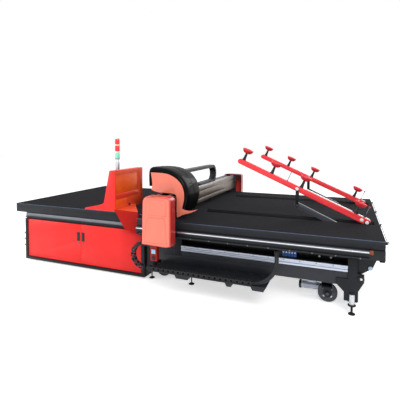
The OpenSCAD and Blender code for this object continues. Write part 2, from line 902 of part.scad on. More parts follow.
// shelf with a lip on each side of the chain, on three hollow brackets and their tabs
module chain_tray() {
    inner = x_link_w / 2 + 4;
    lip_h = 14;
    wall = 4;
    bracket_h = 40;
    slope = 22;
    y0 = tray_y - inner - tray_t;
    z = tray_z - seam;
    places = [[350, 200], [1000, 95], [1305, 170]];
    color("#2c2c30") {
        block(tray_x0, tray_x1, y0, -frame_y, tray_z, tray_z + tray_t);
        for (y = [y0, tray_y + inner]) block(tray_x0, tray_x1, y, y + tray_t, tray_z, tray_z + lip_h);
        for (p = places) {
            x0 = p[0];
            x1 = p[0] + p[1];
            difference() {
                xz_prism(y0, -frame_y) polygon([
                    [x0, z], [x1, z], [x1 - slope, z - bracket_h], [x0 + slope, z - bracket_h]
                ]);
                xz_prism(y0 + wall, -frame_y + eps) polygon([
                    [x0 + 2 * wall, z - wall], [x1 - 2 * wall, z - wall],
                    [x1 - slope - wall, z - bracket_h + wall], [x0 + slope + wall, z - bracket_h + wall]
                ]);
            }
        }
        // upright that hangs the tray on the side beam
        block(tray_x0, tray_x1, -frame_y - wall, -frame_y, tray_z + tray_t + seam, side_beam_z + 90);
    }
}

// long chain as it lies: lower run, open loop and upper run to the gantry
module long_chain() {
    half = x_link_h / 2;
    w = x_link_w / 2;
    lower = loop_z - x_bend_r;
    upper = loop_z + x_bend_r;
    color("#26262a") {
        translate([loop_x, tray_y, loop_z]) rotate([90, 0, 0]) rotate([0, 0, 90])
            rotate_extrude(angle = 180) translate([x_bend_r - half, -w]) square([x_link_h, 2 * w]);
        block(loop_x, chain_x1, tray_y - w, tray_y + w, lower - half, lower + half);
        block(loop_x, cover_x0 + 55, tray_y - w, tray_y + w, upper - half, upper + half);
    }
}

// frames that a round section follows along a list of points
function unit(v) = v / norm(v);
function path_dir(p, i) = unit(p[min(i + 1, len(p) - 1)] - p[max(i - 1, 0)]);
function ring(p, i, r, sides) =
    let (d = path_dir(p, i), a = unit(cross(d, [0.3, 1, 0.2])), b = cross(d, a))
    [for (k = [0:sides - 1]) p[i] + r * cos(360 * k / sides) * a + r * sin(360 * k / sides) * b];

// round tube swept along the route as one closed solid
module swept(p, r, sides) {
    n = len(p);
    points = [for (i = [0:n - 1]) each ring(p, i, r, sides)];
    sides_f = [for (i = [0:n - 2], k = [0:sides - 1])
        [i * sides + k, i * sides + (k + 1) % sides, (i + 1) * sides + (k + 1) % sides, (i + 1) * sides + k]];
    start_f = [for (k = [0:sides - 1]) sides - 1 - k];
    end_f = [for (k = [0:sides - 1]) (n - 1) * sides + k];
    polyhedron(points, concat([start_f], sides_f, [end_f]), convexity = 4);
}

module chain_hose() {
    color("#1f1f22") swept(hose_points, hose_d / 2, 10);
}

// valves on the front side beam with the gland that takes the hose
module valve_bank() {
    z0 = side_beam_z + side_beam_h;
    y0 = -frame_y + 10;
    base_h = 14;
    valve_w = 30;
    pitch = 34;
    x0 = 1590;
    color("royalblue") {
        block(1515, x0 + 5 * pitch, y0, y0 + 90, z0, z0 + base_h);
        for (i = [0:4]) {
            x = x0 + i * pitch;
            block(x, x + valve_w, y0 + 8, y0 + 82, z0 + base_h, z0 + 85);
        }
    }
    // plate and gland that take the hose
    color("silver") {
        block(1515, 1585, y0 + 8, y0 + 20, z0 + base_h, z0 + 115);
        rod_y(hose_end[0], hose_end[2], hose_end[1] + seam, y0 + 8, hose_d / 2 + 4);
    }
}

// guard bar along the right-hand end on four arms
module edge_bar() {
    bar_r = 10;
    arm = 14;
    x = x_right + edge_bar_out - bar_r;
    z = table_h - 45;
    end = cut_y - 80;
    color("whitesmoke") rod_y(x, z, -end, end, bar_r);
    color("#1f1f22") for (y = [-end + 30, -end / 3, end / 3, end - 30]) difference() {
        block(x_right, x + bar_r, y - arm, y + arm, z - arm, z + arm);
        rod_y(x, z, y - arm - eps, y + arm + eps, bar_r + key_gap);
    }
}

// ---- gantry ----

// extruded beam with two chambers and shallow grooves in its sides
module gantry_beam() {
    wall = 8;
    web = 8;
    groove = 3;
    half = (beam_h - 2 * wall - web) / 2;
    color("#8c8078") difference() {
        block(beam_x0, beam_x1, -plate_y, plate_y, beam_z, beam_top);
        for (z = [beam_z + wall, beam_z + wall + half + web]) {
            block(beam_x0 + wall, beam_x1 - wall, -plate_y - eps, plate_y + eps, z, z + half);
        }
        for (z = [beam_z + 55, beam_z + 165]) {
            block(beam_x1 - groove, beam_x1 + eps, -plate_y - eps, plate_y + eps, z, z + 10);
            block(beam_x0 - eps, beam_x0 + groove, -plate_y - eps, plate_y + eps, z, z + 10);
        }
    }
}

// places of the two carriage rails on the beam
function beam_rail_xs() = [beam_x0 + 12, beam_x1 - 32];

module beam_rails() {
    w = 20;
    color("gainsboro") for (x = beam_rail_xs()) {
        translate([x, plate_y - 20, beam_top]) rotate([90, 0, 0])
            linear_extrude(2 * plate_y - 40) difference() {
                square([w, beam_rail_h]);
                for (gx = [0, w]) translate([gx, beam_rail_h * 0.6]) circle(3);
            }
    }
}

// plates that close the beam and hang down beside the rails
module end_plates() {
    x0 = cover_x0 + 15;
    x1 = cover_x1 - 15;
    z0 = table_h - 300;
    shoulder = table_h - 50;
    slope = 40;
    neck = 28;
    outer = -plate_y - end_plate_t;
    lug_z = loop_z + x_bend_r + x_link_h / 2 + chain_gap;
    color("#4b4b50") {
        both_sides() difference() {
            xz_prism(outer, -plate_y) polygon([
                [x0, z0], [x1, z0], [x1, shoulder], [beam_x1 + neck, shoulder + slope],
                [beam_x1 + neck, beam_top + 5], [beam_x0 - neck, beam_top + 5],
                [beam_x0 - neck, shoulder + slope], [x0, shoulder]
            ]);
            rod_y(pinion_x, pinion_z, outer - eps, -plate_y + eps, pinion_shaft_r + pin_gap);
        }
        block(x0, x0 + 40, tray_y - x_link_w / 2, outer - seam, lug_z, lug_z + 8);
    }
}

// hollow covers over the end plates, open at the back and below
module end_covers() {
    z1 = cover_z + cover_h;
    y0 = -cover_y - cover_d;
    notch_w = x_link_w + 16;
    right_r = 55;
    left_r = 80;
    left_x = cover_x0 + left_r + 14;
    outline = concat(
        [[cover_x0, cover_z]],
        [[cover_x1 - 60, cover_z - 12], [cover_x1, cover_z + 6]],
        arc(cover_x1 - right_r, z1 - right_r, right_r, 0, 90),
        arc(left_x, z1 - left_r, left_r, 90, 175)
    );
    color("#f0503c") both_sides() difference() {
        xz_prism(y0, -cover_y) polygon(outline);
        xz_prism(y0 + cover_wall, -cover_y + eps) polygon(concat(
            [[cover_x0 + cover_wall, cover_z - 20], [cover_x1 - cover_wall, cover_z - 20]],
            arc(cover_x1 - right_r, z1 - right_r, right_r - cover_wall, 0, 90),
            arc(left_x, z1 - left_r, left_r - cover_wall, 90, 175)
        ));
        block(cover_x0 - 30, cover_x0 + 60, tray_y - notch_w / 2, -cover_y + eps, cover_z - 40,
            loop_z + x_bend_r + x_link_h / 2 + 14);
    }
    // stand-offs from the front wall to the end plate
    color("#f0503c") both_sides() {
        for (p = [[cover_x0 + 100, table_h - 80], [cover_x1 - 60, table_h - 80],
                [beam_x0 + 25, beam_z + 80], [beam_x1 - 5, beam_z + 80]]) {
            rod_y(p[0], p[1], y0 + 1, -plate_y - end_plate_t, 10);
        }
    }
}

// four bearing blocks that grip the gantry rails
module rail_blocks() {
    len = 90;
    body_h = rail_h + 19;
    z = rail_z + rail_h / 2;
    back = -rail_bed_y - 4;
    color("#7c7c80") both_sides() {
        for (x = [cover_x0 + 40, cover_x1 - 40 - len]) difference() {
            block(x, x + len, -plate_y, back, z - body_h / 2, z + body_h / 2);
            block(x - eps, x + len + eps, -rail_y - slide_gap, back + eps, z - rail_h / 2 - slide_gap,
                z + rail_h / 2 + slide_gap);
        }
    }
}

// gearbox on each end plate with its motor hanging below
module gantry_motors() {
    half = 52;
    y1 = -plate_y - end_plate_t;
    y0 = y1 - 70;
    box_z1 = pinion_z + 60;
    box_z0 = pinion_z - 75;
    color("firebrick") both_sides() {
        difference() {
            block(pinion_x - half, pinion_x + half, y0, y1, box_z0, box_z1);
            rod_y(pinion_x, pinion_z, y1 - 50, y1 + eps, pinion_shaft_r + pin_gap);
        }
        block(pinion_x - half + 6, pinion_x + half - 6, y0 + 4, y1 - 2, box_z0 - 185, box_z0);
    }
}

// involute flank point of the pinion at a roll angle, seen from the gear's middle
function involute(rb, a) = [rb * (cos(a) + a * PI / 180 * sin(a)), rb * (sin(a) - a * PI / 180 * cos(a))];
function turned(p, a) = [p[0] * cos(a) - p[1] * sin(a), p[0] * sin(a) + p[1] * cos(a)];
function roll_at(rb, r) = sqrt(max(pow(r / rb, 2) - 1, 0)) * 180 / PI;

// outline of a spur gear with one tooth centred straight up
function gear_outline() =
    let (
        rb = pitch_r * cos(20),
        ra = pitch_r + gear_module * 0.95,
        rr = pitch_r - 1.25 * gear_module,
        roll_pitch = roll_at(rb, pitch_r),
        pitch_turn = roll_pitch - 20,
        half_tooth = 90 / pinion_teeth - gear_backlash / 4 / pitch_r * 180 / PI,
        steps = 4
    )
    [for (i = [0:pinion_teeth - 1])
        let (mid = 90 - 360 * i / pinion_teeth)
        each concat(
            [turned([rr, 0], mid + half_tooth + pitch_turn + 1)],
            [for (k = [0:steps])
                let (a = roll_at(rb, max(rb, rr)) + (roll_at(rb, ra) - roll_at(rb, max(rb, rr))) * k / steps)
                turned([involute(rb, a)[0], -involute(rb, a)[1]], mid + half_tooth + pitch_turn)],
            [for (k = [0:steps])
                let (a = roll_at(rb, ra) - (roll_at(rb, ra) - roll_at(rb, max(rb, rr))) * k / steps)
                turned(involute(rb, a), mid - half_tooth - pitch_turn)],
            [turned([rr, 0], mid - half_tooth - pitch_turn - 1)]
        )
    ];

module drive_pinions() {
    gear_y0 = -rail_bed_y - rack_w;
    color("gray") both_sides() {
        xz_prism(gear_y0, gear_y0 + rack_w - 2) translate([pinion_x, pinion_z]) polygon(gear_outline());
        rod_y(pinion_x, pinion_z, -plate_y - end_plate_t - 45, gear_y0, pinion_shaft_r);
    }
}

// ---- carriage and cutting head ----

// chain on the beam: lower run on the beam, loop, upper run to the saddle
module beam_chain() {
    half = y_link_h / 2;
    x = (beam_x0 + beam_x1) / 2;
    w = y_link_w / 2;
    lower = beam_top + 2 + half;
    mid = lower + y_bend_r;
    upper = mid + y_bend_r;
    loop_y = helmet_y1 + 1180;
    fixed_y = helmet_y1 + 560;
    color("#5c5c60") {
        translate([x, loop_y, mid]) rotate([90, 0, 90]) rotate([0, 0, -90])
            rotate_extrude(angle = 180) translate([y_bend_r - half, -w]) square([y_link_h, 2 * w]);
        block(x - w, x + w, fixed_y, loop_y, lower - half, lower + half);
        block(x - w, x + w, head_y, loop_y, upper - half, upper + half);
        block(x - w, x + w, fixed_y - 40, fixed_y, beam_top, lower + half);
    }
}

// saddle on four blocks, with the plate that carries the head and the chain post
module head_saddle() {
    y0 = helmet_y0 + 60;
    y1 = helmet_y1 - 60;
    post = 10;
    chain_z = beam_top + 2 + 2 * y_bend_r - chain_gap;
    bracket_t = 12;
    front_in = helmet_y0 + helmet_plate_t + 8;
    block_l = 70;
    block_w = 44;
    color("#6c6c70") {
        block(beam_x0 - 20, head_plate_x, y0, y1, saddle_z, saddle_top);
        block(head_plate_x, head_plate_x + 12, y0, y1, beam_z - 20, saddle_top);
        block(beam_x0 + 20, beam_x1 - 20, head_y - 60, head_y - 60 + post, saddle_top, chain_z);
        block(beam_x0 + 70, beam_x1 - 70, head_y - 50, head_y + 30, chain_z - post, chain_z);
        for (x = [beam_x0 - 20, head_plate_x - bracket_t]) {
            block(x, x + bracket_t, front_in, y1, saddle_top, cover_cut_z + 60);
        }
    }
    color("#7c7c80") for (rx = beam_rail_xs(), y = [y0 + 10, y1 - 10 - block_l]) difference() {
        block(rx + 10 - block_w / 2, rx + 10 + block_w / 2, y, y + block_l, beam_top + 5, saddle_z);
        block(rx - slide_gap, rx + 20 + slide_gap, y - eps, y + block_l + eps, beam_top + 4,
            beam_top + beam_rail_h + slide_gap);
    }
}

// outline of the head cover, grown by a margin; the top leans over to the right
function helmet_outline(grow, drop = 0) = concat(
    [[beam_x0 - 140 - grow, table_h + 372 - drop], [beam_x0 - 140 - grow, table_h + 600]],
    [[beam_x0 - 100 - grow * 0.7, table_h + 628 + grow], [beam_x0 + 70, table_h + 622 + grow]],
    [[beam_x0 + 176 + grow * 0.4, table_h + 590 + grow * 0.8]],
    [[beam_x0 + 263 + grow * 0.7, table_h + 530 + grow * 0.6]],
    [[beam_x0 + 322 + grow * 0.9, table_h + 450 + grow * 0.3], [beam_x0 + 352 + grow, table_h + 352]],
    [[beam_x0 + 352 + grow, table_h + 260], [beam_x0 + 330 + grow, table_h + 160]],
    [[beam_x0 + 300 + grow, table_h + 90 - drop], [beam_x0 + 262, table_h + 60 - drop]]
);

// lofted shell over the carriage: higher at its front than at its back, open below
module head_cover() {
    slab = 2;
    front = 44;
    rear = 14;
    wall = 8;
    open_below = 60;
    cut_x1 = head_plate_x + 16;
    y0 = helmet_y0 + helmet_plate_t;
    color("#101012") difference() {
        hull() {
            xz_prism(y0, y0 + slab) polygon(helmet_outline(front));
            xz_prism(helmet_y1 - slab, helmet_y1) polygon(helmet_outline(rear));
        }
        hull() {
            xz_prism(y0 + wall, y0 + wall + slab) polygon(helmet_outline(front - wall, open_below));
            xz_prism(helmet_y1 + eps, helmet_y1 + slab) polygon(helmet_outline(rear - wall, open_below));
        }
        block(beam_x0 - 240, cut_x1, y0 - 10, helmet_y1 + 10, table_h - 40, cover_cut_z);
    }
}

// coloured plate at the front of the cover, with the fin that sweeps out over the bed
module cover_plate() {
    x = beam_x0;
    z = table_h;
    color("salmon") {
        xz_prism(helmet_y0, helmet_y0 + helmet_plate_t) polygon([
            [x - 136, z + 600], [x + 73, z + 594], [x + 176, z + 565], [x + 263, z + 510], [x + 320, z + 441],
            [x + 349, z + 351], [x + 349, z + 260], [x + 327, z + 167], [x + 313, z + 140],
            [x + 363, z + 126], [x + 447, z + 124], [x + 545, z + 150], [x + 461, z + 105],
            [x + 334, z + 63], [x + 262, z + 24],
            [x + 246, z + 40], [x + 246, z + 300], [x + 204, z + 332], [x - 40, z + 340], [x - 127, z + 366],
            [x - 117, z + 420], [x - 117, z + 470], [x - 123, z + 527]
        ]);
    }
}

// vertical slide with its cylinder and the socket of the cutter
module head_slide() {
    x0 = head_plate_x + 12 + slide_gap;
    z0 = table_h + 60;
    color("silver") {
        difference() {
            block(x0, x0 + 40, head_y - 60, head_y + 60, z0, z0 + 190);
            rod_z(x0 + 20, head_y, z0 - eps, z0 + 45, 9 + pin_gap);
        }
        rod_z(x0 + 20, head_y, z0 + 190, z0 + 300, 18);
    }
}

// swivelling holder with its fork and the axle hole of the wheel
module cutter_holder() {
    x = head_plate_x + 12 + slide_gap + 20;
    z0 = table_h + 34;
    wheel_r = 5;
    color("gold") difference() {
        union() {
            rod_z(x, head_y, z0 + 12, z0 + 70, 9);
            rod_z(x, head_y, z0 - 2, z0 + 12, 14);
        }
        block(x - 16, x + 16, head_y - 1.5, head_y + 1.5, z0 - 4, z0 + 6);
        rod_y(x, z0, head_y - 16, head_y + 16, 1.5 + pin_gap);
    }
}

// cutter wheel on its axle
module cutter_wheel() {
    x = head_plate_x + 12 + slide_gap + 20;
    z = table_h + 34;
    color("silver") {
        rod_y(x, z, head_y - 1, head_y + 1, 4.6);
        rod_y(x, z, head_y - 10, head_y + 10, 1.5);
    }
}

// ---- loading arms ----

// place things in the frame of an arm: x runs from the pivot towards the tip
module on_arm(y) {
    translate([arm_pivot_x, y, arm_pivot_z]) rotate([0, arm_tilt, 0]) mirror([1, 0, 0]) children();
}

// square tube with pivot bosses and a rounded tip; a bright strip lies on its lower half
module arm_tubes() {
    tail = 30;
    strip_t = 5;
    strip_w = 24;
    w = arm_w / 2;
    h = arm_h / 2;
    in_w = w - tube_wall;
    in_h = h - tube_wall;
    color("#e2231a") for (y = arm_ys) on_arm(y) {
        difference() {
            union() {
                difference() {
                    block(-tail, arm_l - h, -w, w, -h, h);
                    block(-tail - eps, arm_l - h, -in_w, in_w, -in_h, in_h);
                }
                rod_y(arm_l - h, 0, -w, w, h);
                for (x = [0, link_at]) rod_y(x, 0, -w, w, pin_r + 10);
            }
            rod_y(0, 0, -w - eps, w + eps, pin_r + pin_gap);
            rod_y(link_at, 0, -w - eps, w + eps, pin_r);
        }
    }
    // the strip stops short of the feet of the lowest feeler and cup
    low_feeler = feeler_stations[1][0];
    strips = [
        [10 - tail, low_feeler - 12], [low_feeler + 12, cup_stations[3] - 40],
        [cup_stations[3] + 40, link_at - 100]
    ];
    color("white") for (y = arm_ys) on_arm(y) {
        for (p = strips) block(p[0], p[1], -strip_w / 2, strip_w / 2, h, h + strip_t);
        rod_y(link_at, 0, -w - 14, w + 14, pin_r);
    }
}

// black stem and red cup at every station, and the thin feelers between them
module suction_cups() {
    base = arm_h / 2;
    foot_t = 12;
    face = arm_h / 2 + cup_rise;
    rim_h = 18;
    bowl_h = 40;
    neck = face - rim_h - bowl_h;
    for (i = [0:1]) on_arm(arm_ys[i]) {
        for (x = cup_stations) {
            color("#26262a") translate([x, 0, base]) {
                cylinder(h = foot_t, r = 27);
                translate([0, 0, foot_t]) cylinder(h = neck - base - foot_t, r1 = 22, r2 = 14);
            }
            color("red") translate([x, 0, neck]) {
                cylinder(h = bowl_h, r1 = cup_d / 2 - 29, r2 = cup_d / 2);
                translate([0, 0, bowl_h]) cylinder(h = rim_h, r = cup_d / 2);
            }
        }
        for (x = feeler_stations[i]) {
            color("gray") translate([x, 0, base]) cylinder(h = face - base - 22, r = 4);
            color("red") translate([x, 0, face - 12]) sphere(12);
        }
    }
}

// tapered levers under the arms, keyed to one shaft across the machine
module arm_levers() {
    w = 20;
    root_h = 26;
    end_h = 38;
    color("#5c5c60") for (y = arm_ys) translate([0, 0, -link_l]) on_arm(y) difference() {
        union() {
            xz_prism(-w, w) polygon([[0, -root_h], [link_at, -end_h], [link_at, end_h], [0, root_h]]);
            rod_y(0, 0, -w, w, root_h + 2);
            rod_y(link_at, 0, -w, w, end_h);
        }
        rod_y(0, 0, -w - eps, w + eps, shaft_r + key_gap);
        rod_y(link_at, 0, -w - eps, w + eps, pin_r);
    }
    color("silver") {
        rod_y(arm_pivot_x, arm_pivot_z - link_l, arm_near_y - 60, arm_far_y + 60, shaft_r);
        for (y = arm_ys) translate([0, 0, -link_l]) on_arm(y) rod_y(link_at, 0, -44, 44, pin_r);
    }
}

// pair of plates between arm and lever, with an easy fit round the lower pin
module arm_links() {
    t = 8;
    easy_gap = 0.5;
    inner = arm_w / 2 + 1;
    x = arm_pivot_x - link_at * cos(arm_tilt);
    z = arm_pivot_z + link_at * sin(arm_tilt);
    half = 19;
    color("#26262a") for (y = arm_ys, s = [-1, 1]) {
        y0 = s < 0 ? y - inner - t : y + inner;
        difference() {
            union() {
                block(x - half, x + half, y0, y0 + t, z - link_l, z);
                rod_y(x, z, y0, y0 + t, half);
                rod_y(x, z - link_l, y0, y0 + t, half);
            }
            rod_y(x, z, y0 - eps, y0 + t + eps, pin_r + pin_gap);
            rod_y(x, z - link_l, y0 - eps, y0 + t + eps, pin_r + easy_gap);
        }
    }
}

// lifting cross tube with bored plates for arms and levers, and the tilt gear motor
module arm_cradle() {
    t = 10;
    inner = arm_w / 2 + 1;
    x = arm_pivot_x;
    half = 34;
    top = cradle_z + cross_tube_z;
    y0 = arm_near_y - 70;
    y1 = arm_far_y + 70;
    gear_y = 260;
    color("#46464a") {
        difference() {
            tube_y(x - cross_tube_x / 2, x + cross_tube_x / 2, y0, y1, cradle_z, top, 6);
            for (y = column_ys) rod_z(column_x, y, cradle_z - eps, top + eps, column_r + pin_gap);
        }
        for (y = arm_ys, s = [-1, 1]) {
            py = s < 0 ? y - inner - t : y + inner;
            difference() {
                union() {
                    block(x - half, x + half, py, py + t, top + seam, arm_pivot_z - 12);
                    rod_y(x, arm_pivot_z - 12, py, py + t, half);
                }
                rod_y(x, arm_pivot_z - link_l, py - eps, py + t + eps, shaft_r + pin_gap);
                rod_y(x, arm_pivot_z, py - eps, py + t + eps, pin_r + key_gap);
            }
        }
    }
    color("silver") {
        for (y = arm_ys) rod_y(x, arm_pivot_z, y - inner - t, y + inner + t, pin_r);
        difference() {
            block(x - 60, x + 50, gear_y, gear_y + 90, top + seam, top + 80);
            rod_y(x, arm_pivot_z - link_l, gear_y - eps, gear_y + 90 + eps, shaft_r + pin_gap);
        }
        rod_x(gear_y + 45, top + 40, x - 260, x - 60, 36);
        rod_z(x, lift_y, lift_plate_z, cradle_z, lift_rod_r);
    }
}

// columns that guide the cradle, held by a plate below and a plate above
module lift_guides() {
    t = 12;
    z0 = lift_plate_z;
    top = joist_z - outrigger_h + 40;
    x = column_x;
    x0 = leg_xs[2] + leg_x;
    color("#46464a") {
        difference() {
            block(x0, x + 40, column_ys[0] - 60, column_ys[1] + 60, z0, z0 + t);
            rod_z(arm_pivot_x, lift_y, z0 - eps, z0 + t + eps, lift_body_r + 2);
            for (y = column_ys) rod_z(x, y, z0 - eps, z0 + t + eps, column_r + key_gap);
        }
        for (y = column_ys) difference() {
            block(x - 25, x_right - 50, y - 35, y + 35, top, top + t);
            rod_z(x, y, top - eps, top + t + eps, column_r + key_gap);
        }
    }
    color("silver") for (y = column_ys) rod_z(x, y, z0, top + t, column_r);
}

// lifting cylinder with its flange on the lower plate
module lift_cylinder() {
    z1 = lift_plate_z + 12;
    flange_t = 16;
    x = arm_pivot_x;
    color("silver") difference() {
        union() {
            rod_z(x, lift_y, z1 - lift_body_h, z1, lift_body_r);
            rod_z(x, lift_y, z1, z1 + flange_t, lift_body_r + 18);
        }
        rod_z(x, lift_y, z1 - lift_body_h + 10, z1 + flange_t + eps, lift_rod_r + pin_gap);
    }
}

break_board();
break_felt();
break_frame();
cut_board();
cut_felt();
cut_frame();
rail_beds();
gantry_rails();
gear_racks();
side_beams();
closing_panels();
cable_profiles();
frame_legs();
leg_plates();
end_gussets();
levelling_feet();
lift_jacks();
wheel_beams();
axle_brackets();
travel_motor();
drive_wheels();
idle_wheels();
cabinet_shell();
cabinet_trim();
cabinet_plate();
cable_glands();
door_left();
door_right();
desk_body();
desk_panel();
desk_bracket();
stop_knob();
light_tower();
chain_tray();
long_chain();
chain_hose();
valve_bank();
edge_bar();
lift_guides();
lift_cylinder();
gantry_beam();
beam_rails();
end_plates();
end_covers();
rail_blocks();
gantry_motors();
drive_pinions();
beam_chain();
head_saddle();
head_cover();
cover_plate();
head_slide();
cutter_holder();
cutter_wheel();
arm_tubes();
suction_cups();
arm_levers();
arm_links();
arm_cradle();
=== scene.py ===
import json
import math

import bpy
from mathutils import Matrix, Vector

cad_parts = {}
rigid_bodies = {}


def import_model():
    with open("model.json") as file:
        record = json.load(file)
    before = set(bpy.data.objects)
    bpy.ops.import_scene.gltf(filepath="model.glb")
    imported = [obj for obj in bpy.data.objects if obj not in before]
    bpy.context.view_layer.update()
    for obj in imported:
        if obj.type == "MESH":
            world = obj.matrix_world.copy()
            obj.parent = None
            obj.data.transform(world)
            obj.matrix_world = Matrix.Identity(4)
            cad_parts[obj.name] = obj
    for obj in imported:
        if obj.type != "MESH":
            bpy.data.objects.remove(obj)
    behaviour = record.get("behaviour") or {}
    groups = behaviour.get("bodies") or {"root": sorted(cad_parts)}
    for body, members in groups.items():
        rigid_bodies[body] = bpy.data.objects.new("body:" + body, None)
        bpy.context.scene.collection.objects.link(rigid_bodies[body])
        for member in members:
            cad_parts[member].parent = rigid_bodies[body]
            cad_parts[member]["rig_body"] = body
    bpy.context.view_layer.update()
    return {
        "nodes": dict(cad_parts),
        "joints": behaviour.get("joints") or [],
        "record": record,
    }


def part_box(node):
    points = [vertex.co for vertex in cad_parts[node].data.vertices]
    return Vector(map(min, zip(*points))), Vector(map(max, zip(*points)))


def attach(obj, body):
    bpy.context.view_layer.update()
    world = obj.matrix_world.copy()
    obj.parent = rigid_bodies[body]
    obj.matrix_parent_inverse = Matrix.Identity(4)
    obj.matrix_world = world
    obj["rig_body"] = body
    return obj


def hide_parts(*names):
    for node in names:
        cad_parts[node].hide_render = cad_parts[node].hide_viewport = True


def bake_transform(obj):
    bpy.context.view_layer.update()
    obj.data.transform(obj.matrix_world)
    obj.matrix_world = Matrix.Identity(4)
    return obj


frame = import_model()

nodes = frame["nodes"]


def box(node):
    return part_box(node)


# Places that several pieces share, all read from the frame.
beamLow, beamHigh = box("gantry_beam")
tableZ = box("cut_felt")[1].z
jointX = box("cut_board")[0].x
rightX = box("cut_board")[1].x
leftX = box("break_board")[0].x
cutY = box("cut_board")[1].y
frameY = box("break_board")[1].y
joints = {joint["name"]: joint for joint in frame["joints"]}


# ---- colour and materials ----

def linear(code):
    channels = [int(code[i:i + 2], 16) / 255 for i in (0, 2, 4)]
    return [c / 12.92 if c <= 0.04045 else ((c + 0.055) / 1.055) ** 2.4 for c in channels] + [1]


def addNode(tree, kind, settings=None, links=None):
    node = tree.nodes.new("ShaderNode" + kind)
    for key, value in (settings or {}).items():
        if isinstance(key, int) or key in node.inputs:
            node.inputs[key].default_value = value
        else:
            setattr(node, key, value)
    for key, socket in (links or {}).items():
        tree.links.new(socket, node.inputs[key])
    return node


def buildMaterial(name, spec):
    # Each layer is one texture, with its size in millimetres, that can tint, roughen and raise the surface.
    material = bpy.data.materials.new(name)
    material.use_nodes = True
    tree = material.node_tree
    shader = tree.nodes["Principled BSDF"]
    for key, value in spec.get("set", {}).items():
        shader.inputs[key].default_value = value
    shader.inputs["Base Color"].default_value = linear(spec["colour"])
    shader.inputs["Roughness"].default_value = spec["rough"]
    coords = addNode(tree, "TexCoord").outputs["Object"]
    colour = normal = rough = None
    for layer in spec["layers"]:
        stretch = layer.get("stretch", (1, 1, 1))
        place = addNode(tree, "Mapping", {"Scale": stretch}, {"Vector": coords}).outputs[0]
        perMetre = 1000 / layer["size"]
        if layer["kind"] == "noise":
            texture = addNode(tree, "TexNoise", {"Scale": perMetre, "Detail": layer.get("detail", 3)},
                              {"Vector": place})
            value, low, high = texture.outputs["Fac"], 0.35, 0.65
        elif layer["kind"] == "cells":
            texture = addNode(tree, "TexVoronoi", {"Scale": perMetre, "Randomness": 1}, {"Vector": place})
            value, low, high = texture.outputs["Distance"], 0, 0.7
        elif layer["kind"] == "dots":
            texture = addNode(tree, "TexVoronoi", {"Scale": perMetre, "Randomness": 0}, {"Vector": place})
            value = texture.outputs["Distance"]
            low, high = layer["radius"] * 1.15 / layer["size"], layer["radius"] / layer["size"]
        else:
            texture = addNode(tree, "TexWave",
                              {"bands_direction": layer["along"], "Scale": perMetre / 20,
                               "Distortion": layer.get("bend", 0)},
                              {"Vector": place})
            value, low, high = texture.outputs["Fac"], 0, 1
        value = addNode(tree, "MapRange", {1: low, 2: high}, {0: value}).outputs[0]
        if "tint" in layer:
            share = addNode(tree, "Math", {"operation": "MULTIPLY", 1: layer.get("share", 1)},
                            {0: value}).outputs[0]
            mix = addNode(tree, "Mix",
                          {"data_type": "RGBA", 6: linear(spec["colour"]), 7: linear(layer["tint"])},
                          {0: share})
            if colour:
                tree.links.new(colour, mix.inputs[6])
            colour = mix.outputs[2]
        if "roughen" in layer:
            change = addNode(tree, "Math",
                             {"operation": "MULTIPLY_ADD", 1: layer["roughen"], 2: spec["rough"]}, {0: value})
            if rough:
                tree.links.new(rough, change.inputs[2])
            rough = change.outputs[0]
        if "height" in layer:
            bump = addNode(tree, "Bump",
                           {"Distance": layer["height"] / 1000, "Strength": layer.get("strength", 1)},
                           {"Height": value})
            if normal:
                tree.links.new(normal, bump.inputs["Normal"])
            normal = bump.outputs["Normal"]
    if colour:
        tree.links.new(colour, shader.inputs["Base Color"])
    if rough:
        tree.links.new(rough, shader.inputs["Roughness"])
    if normal:
        tree.links.new(normal, shader.inputs["Normal"])
    return material


def powder(colour, tint, rough=0.42, grain=1.6):
    return {"colour": colour, "rough": rough, "set": {"Specular IOR Level": 0.22}, "layers": [
        {"kind": "noise", "size": 260, "tint": tint, "share": 0.5, "roughen": 0.06},
        {"kind": "cells", "size": grain, "height": 0.05},
        {"kind": "noise", "size": 9, "height": 0.02, "roughen": -0.05}]}


def moulded(colour, tint, rough=0.22, coat=0.5):
    return {"colour": colour, "rough": rough,
            "set": {"Coat Weight": coat, "Coat Roughness": 0.08, "Specular IOR Level": 0.25},
            "layers": [
        {"kind": "noise", "size": 180, "tint": tint, "share": 0.4},
        {"kind": "noise", "size": 7, "height": 0.008, "roughen": 0.06},
        {"kind": "noise", "size": 0.8, "roughen": 0.05}]}


def metal(colour, tint, rough, along=(1, 40, 40), size=60, height=0.01):
    return {"colour": colour, "rough": rough, "set": {"Metallic": 1}, "layers": [
        {"kind": "noise", "size": size, "stretch": along, "tint": tint, "share": 0.5, "roughen": 0.12,
         "height": height},
        {"kind": "noise", "size": 140, "tint": tint, "share": 0.3, "roughen": 0.06}]}


def soft(colour, tint, rough=0.75):
    return {"colour": colour, "rough": rough, "set": {"Specular IOR Level": 0.25}, "layers": [
        {"kind": "noise", "size": 90, "tint": tint, "share": 0.5},
        {"kind": "noise", "size": 1.2, "height": 0.06, "roughen": 0.1}]}


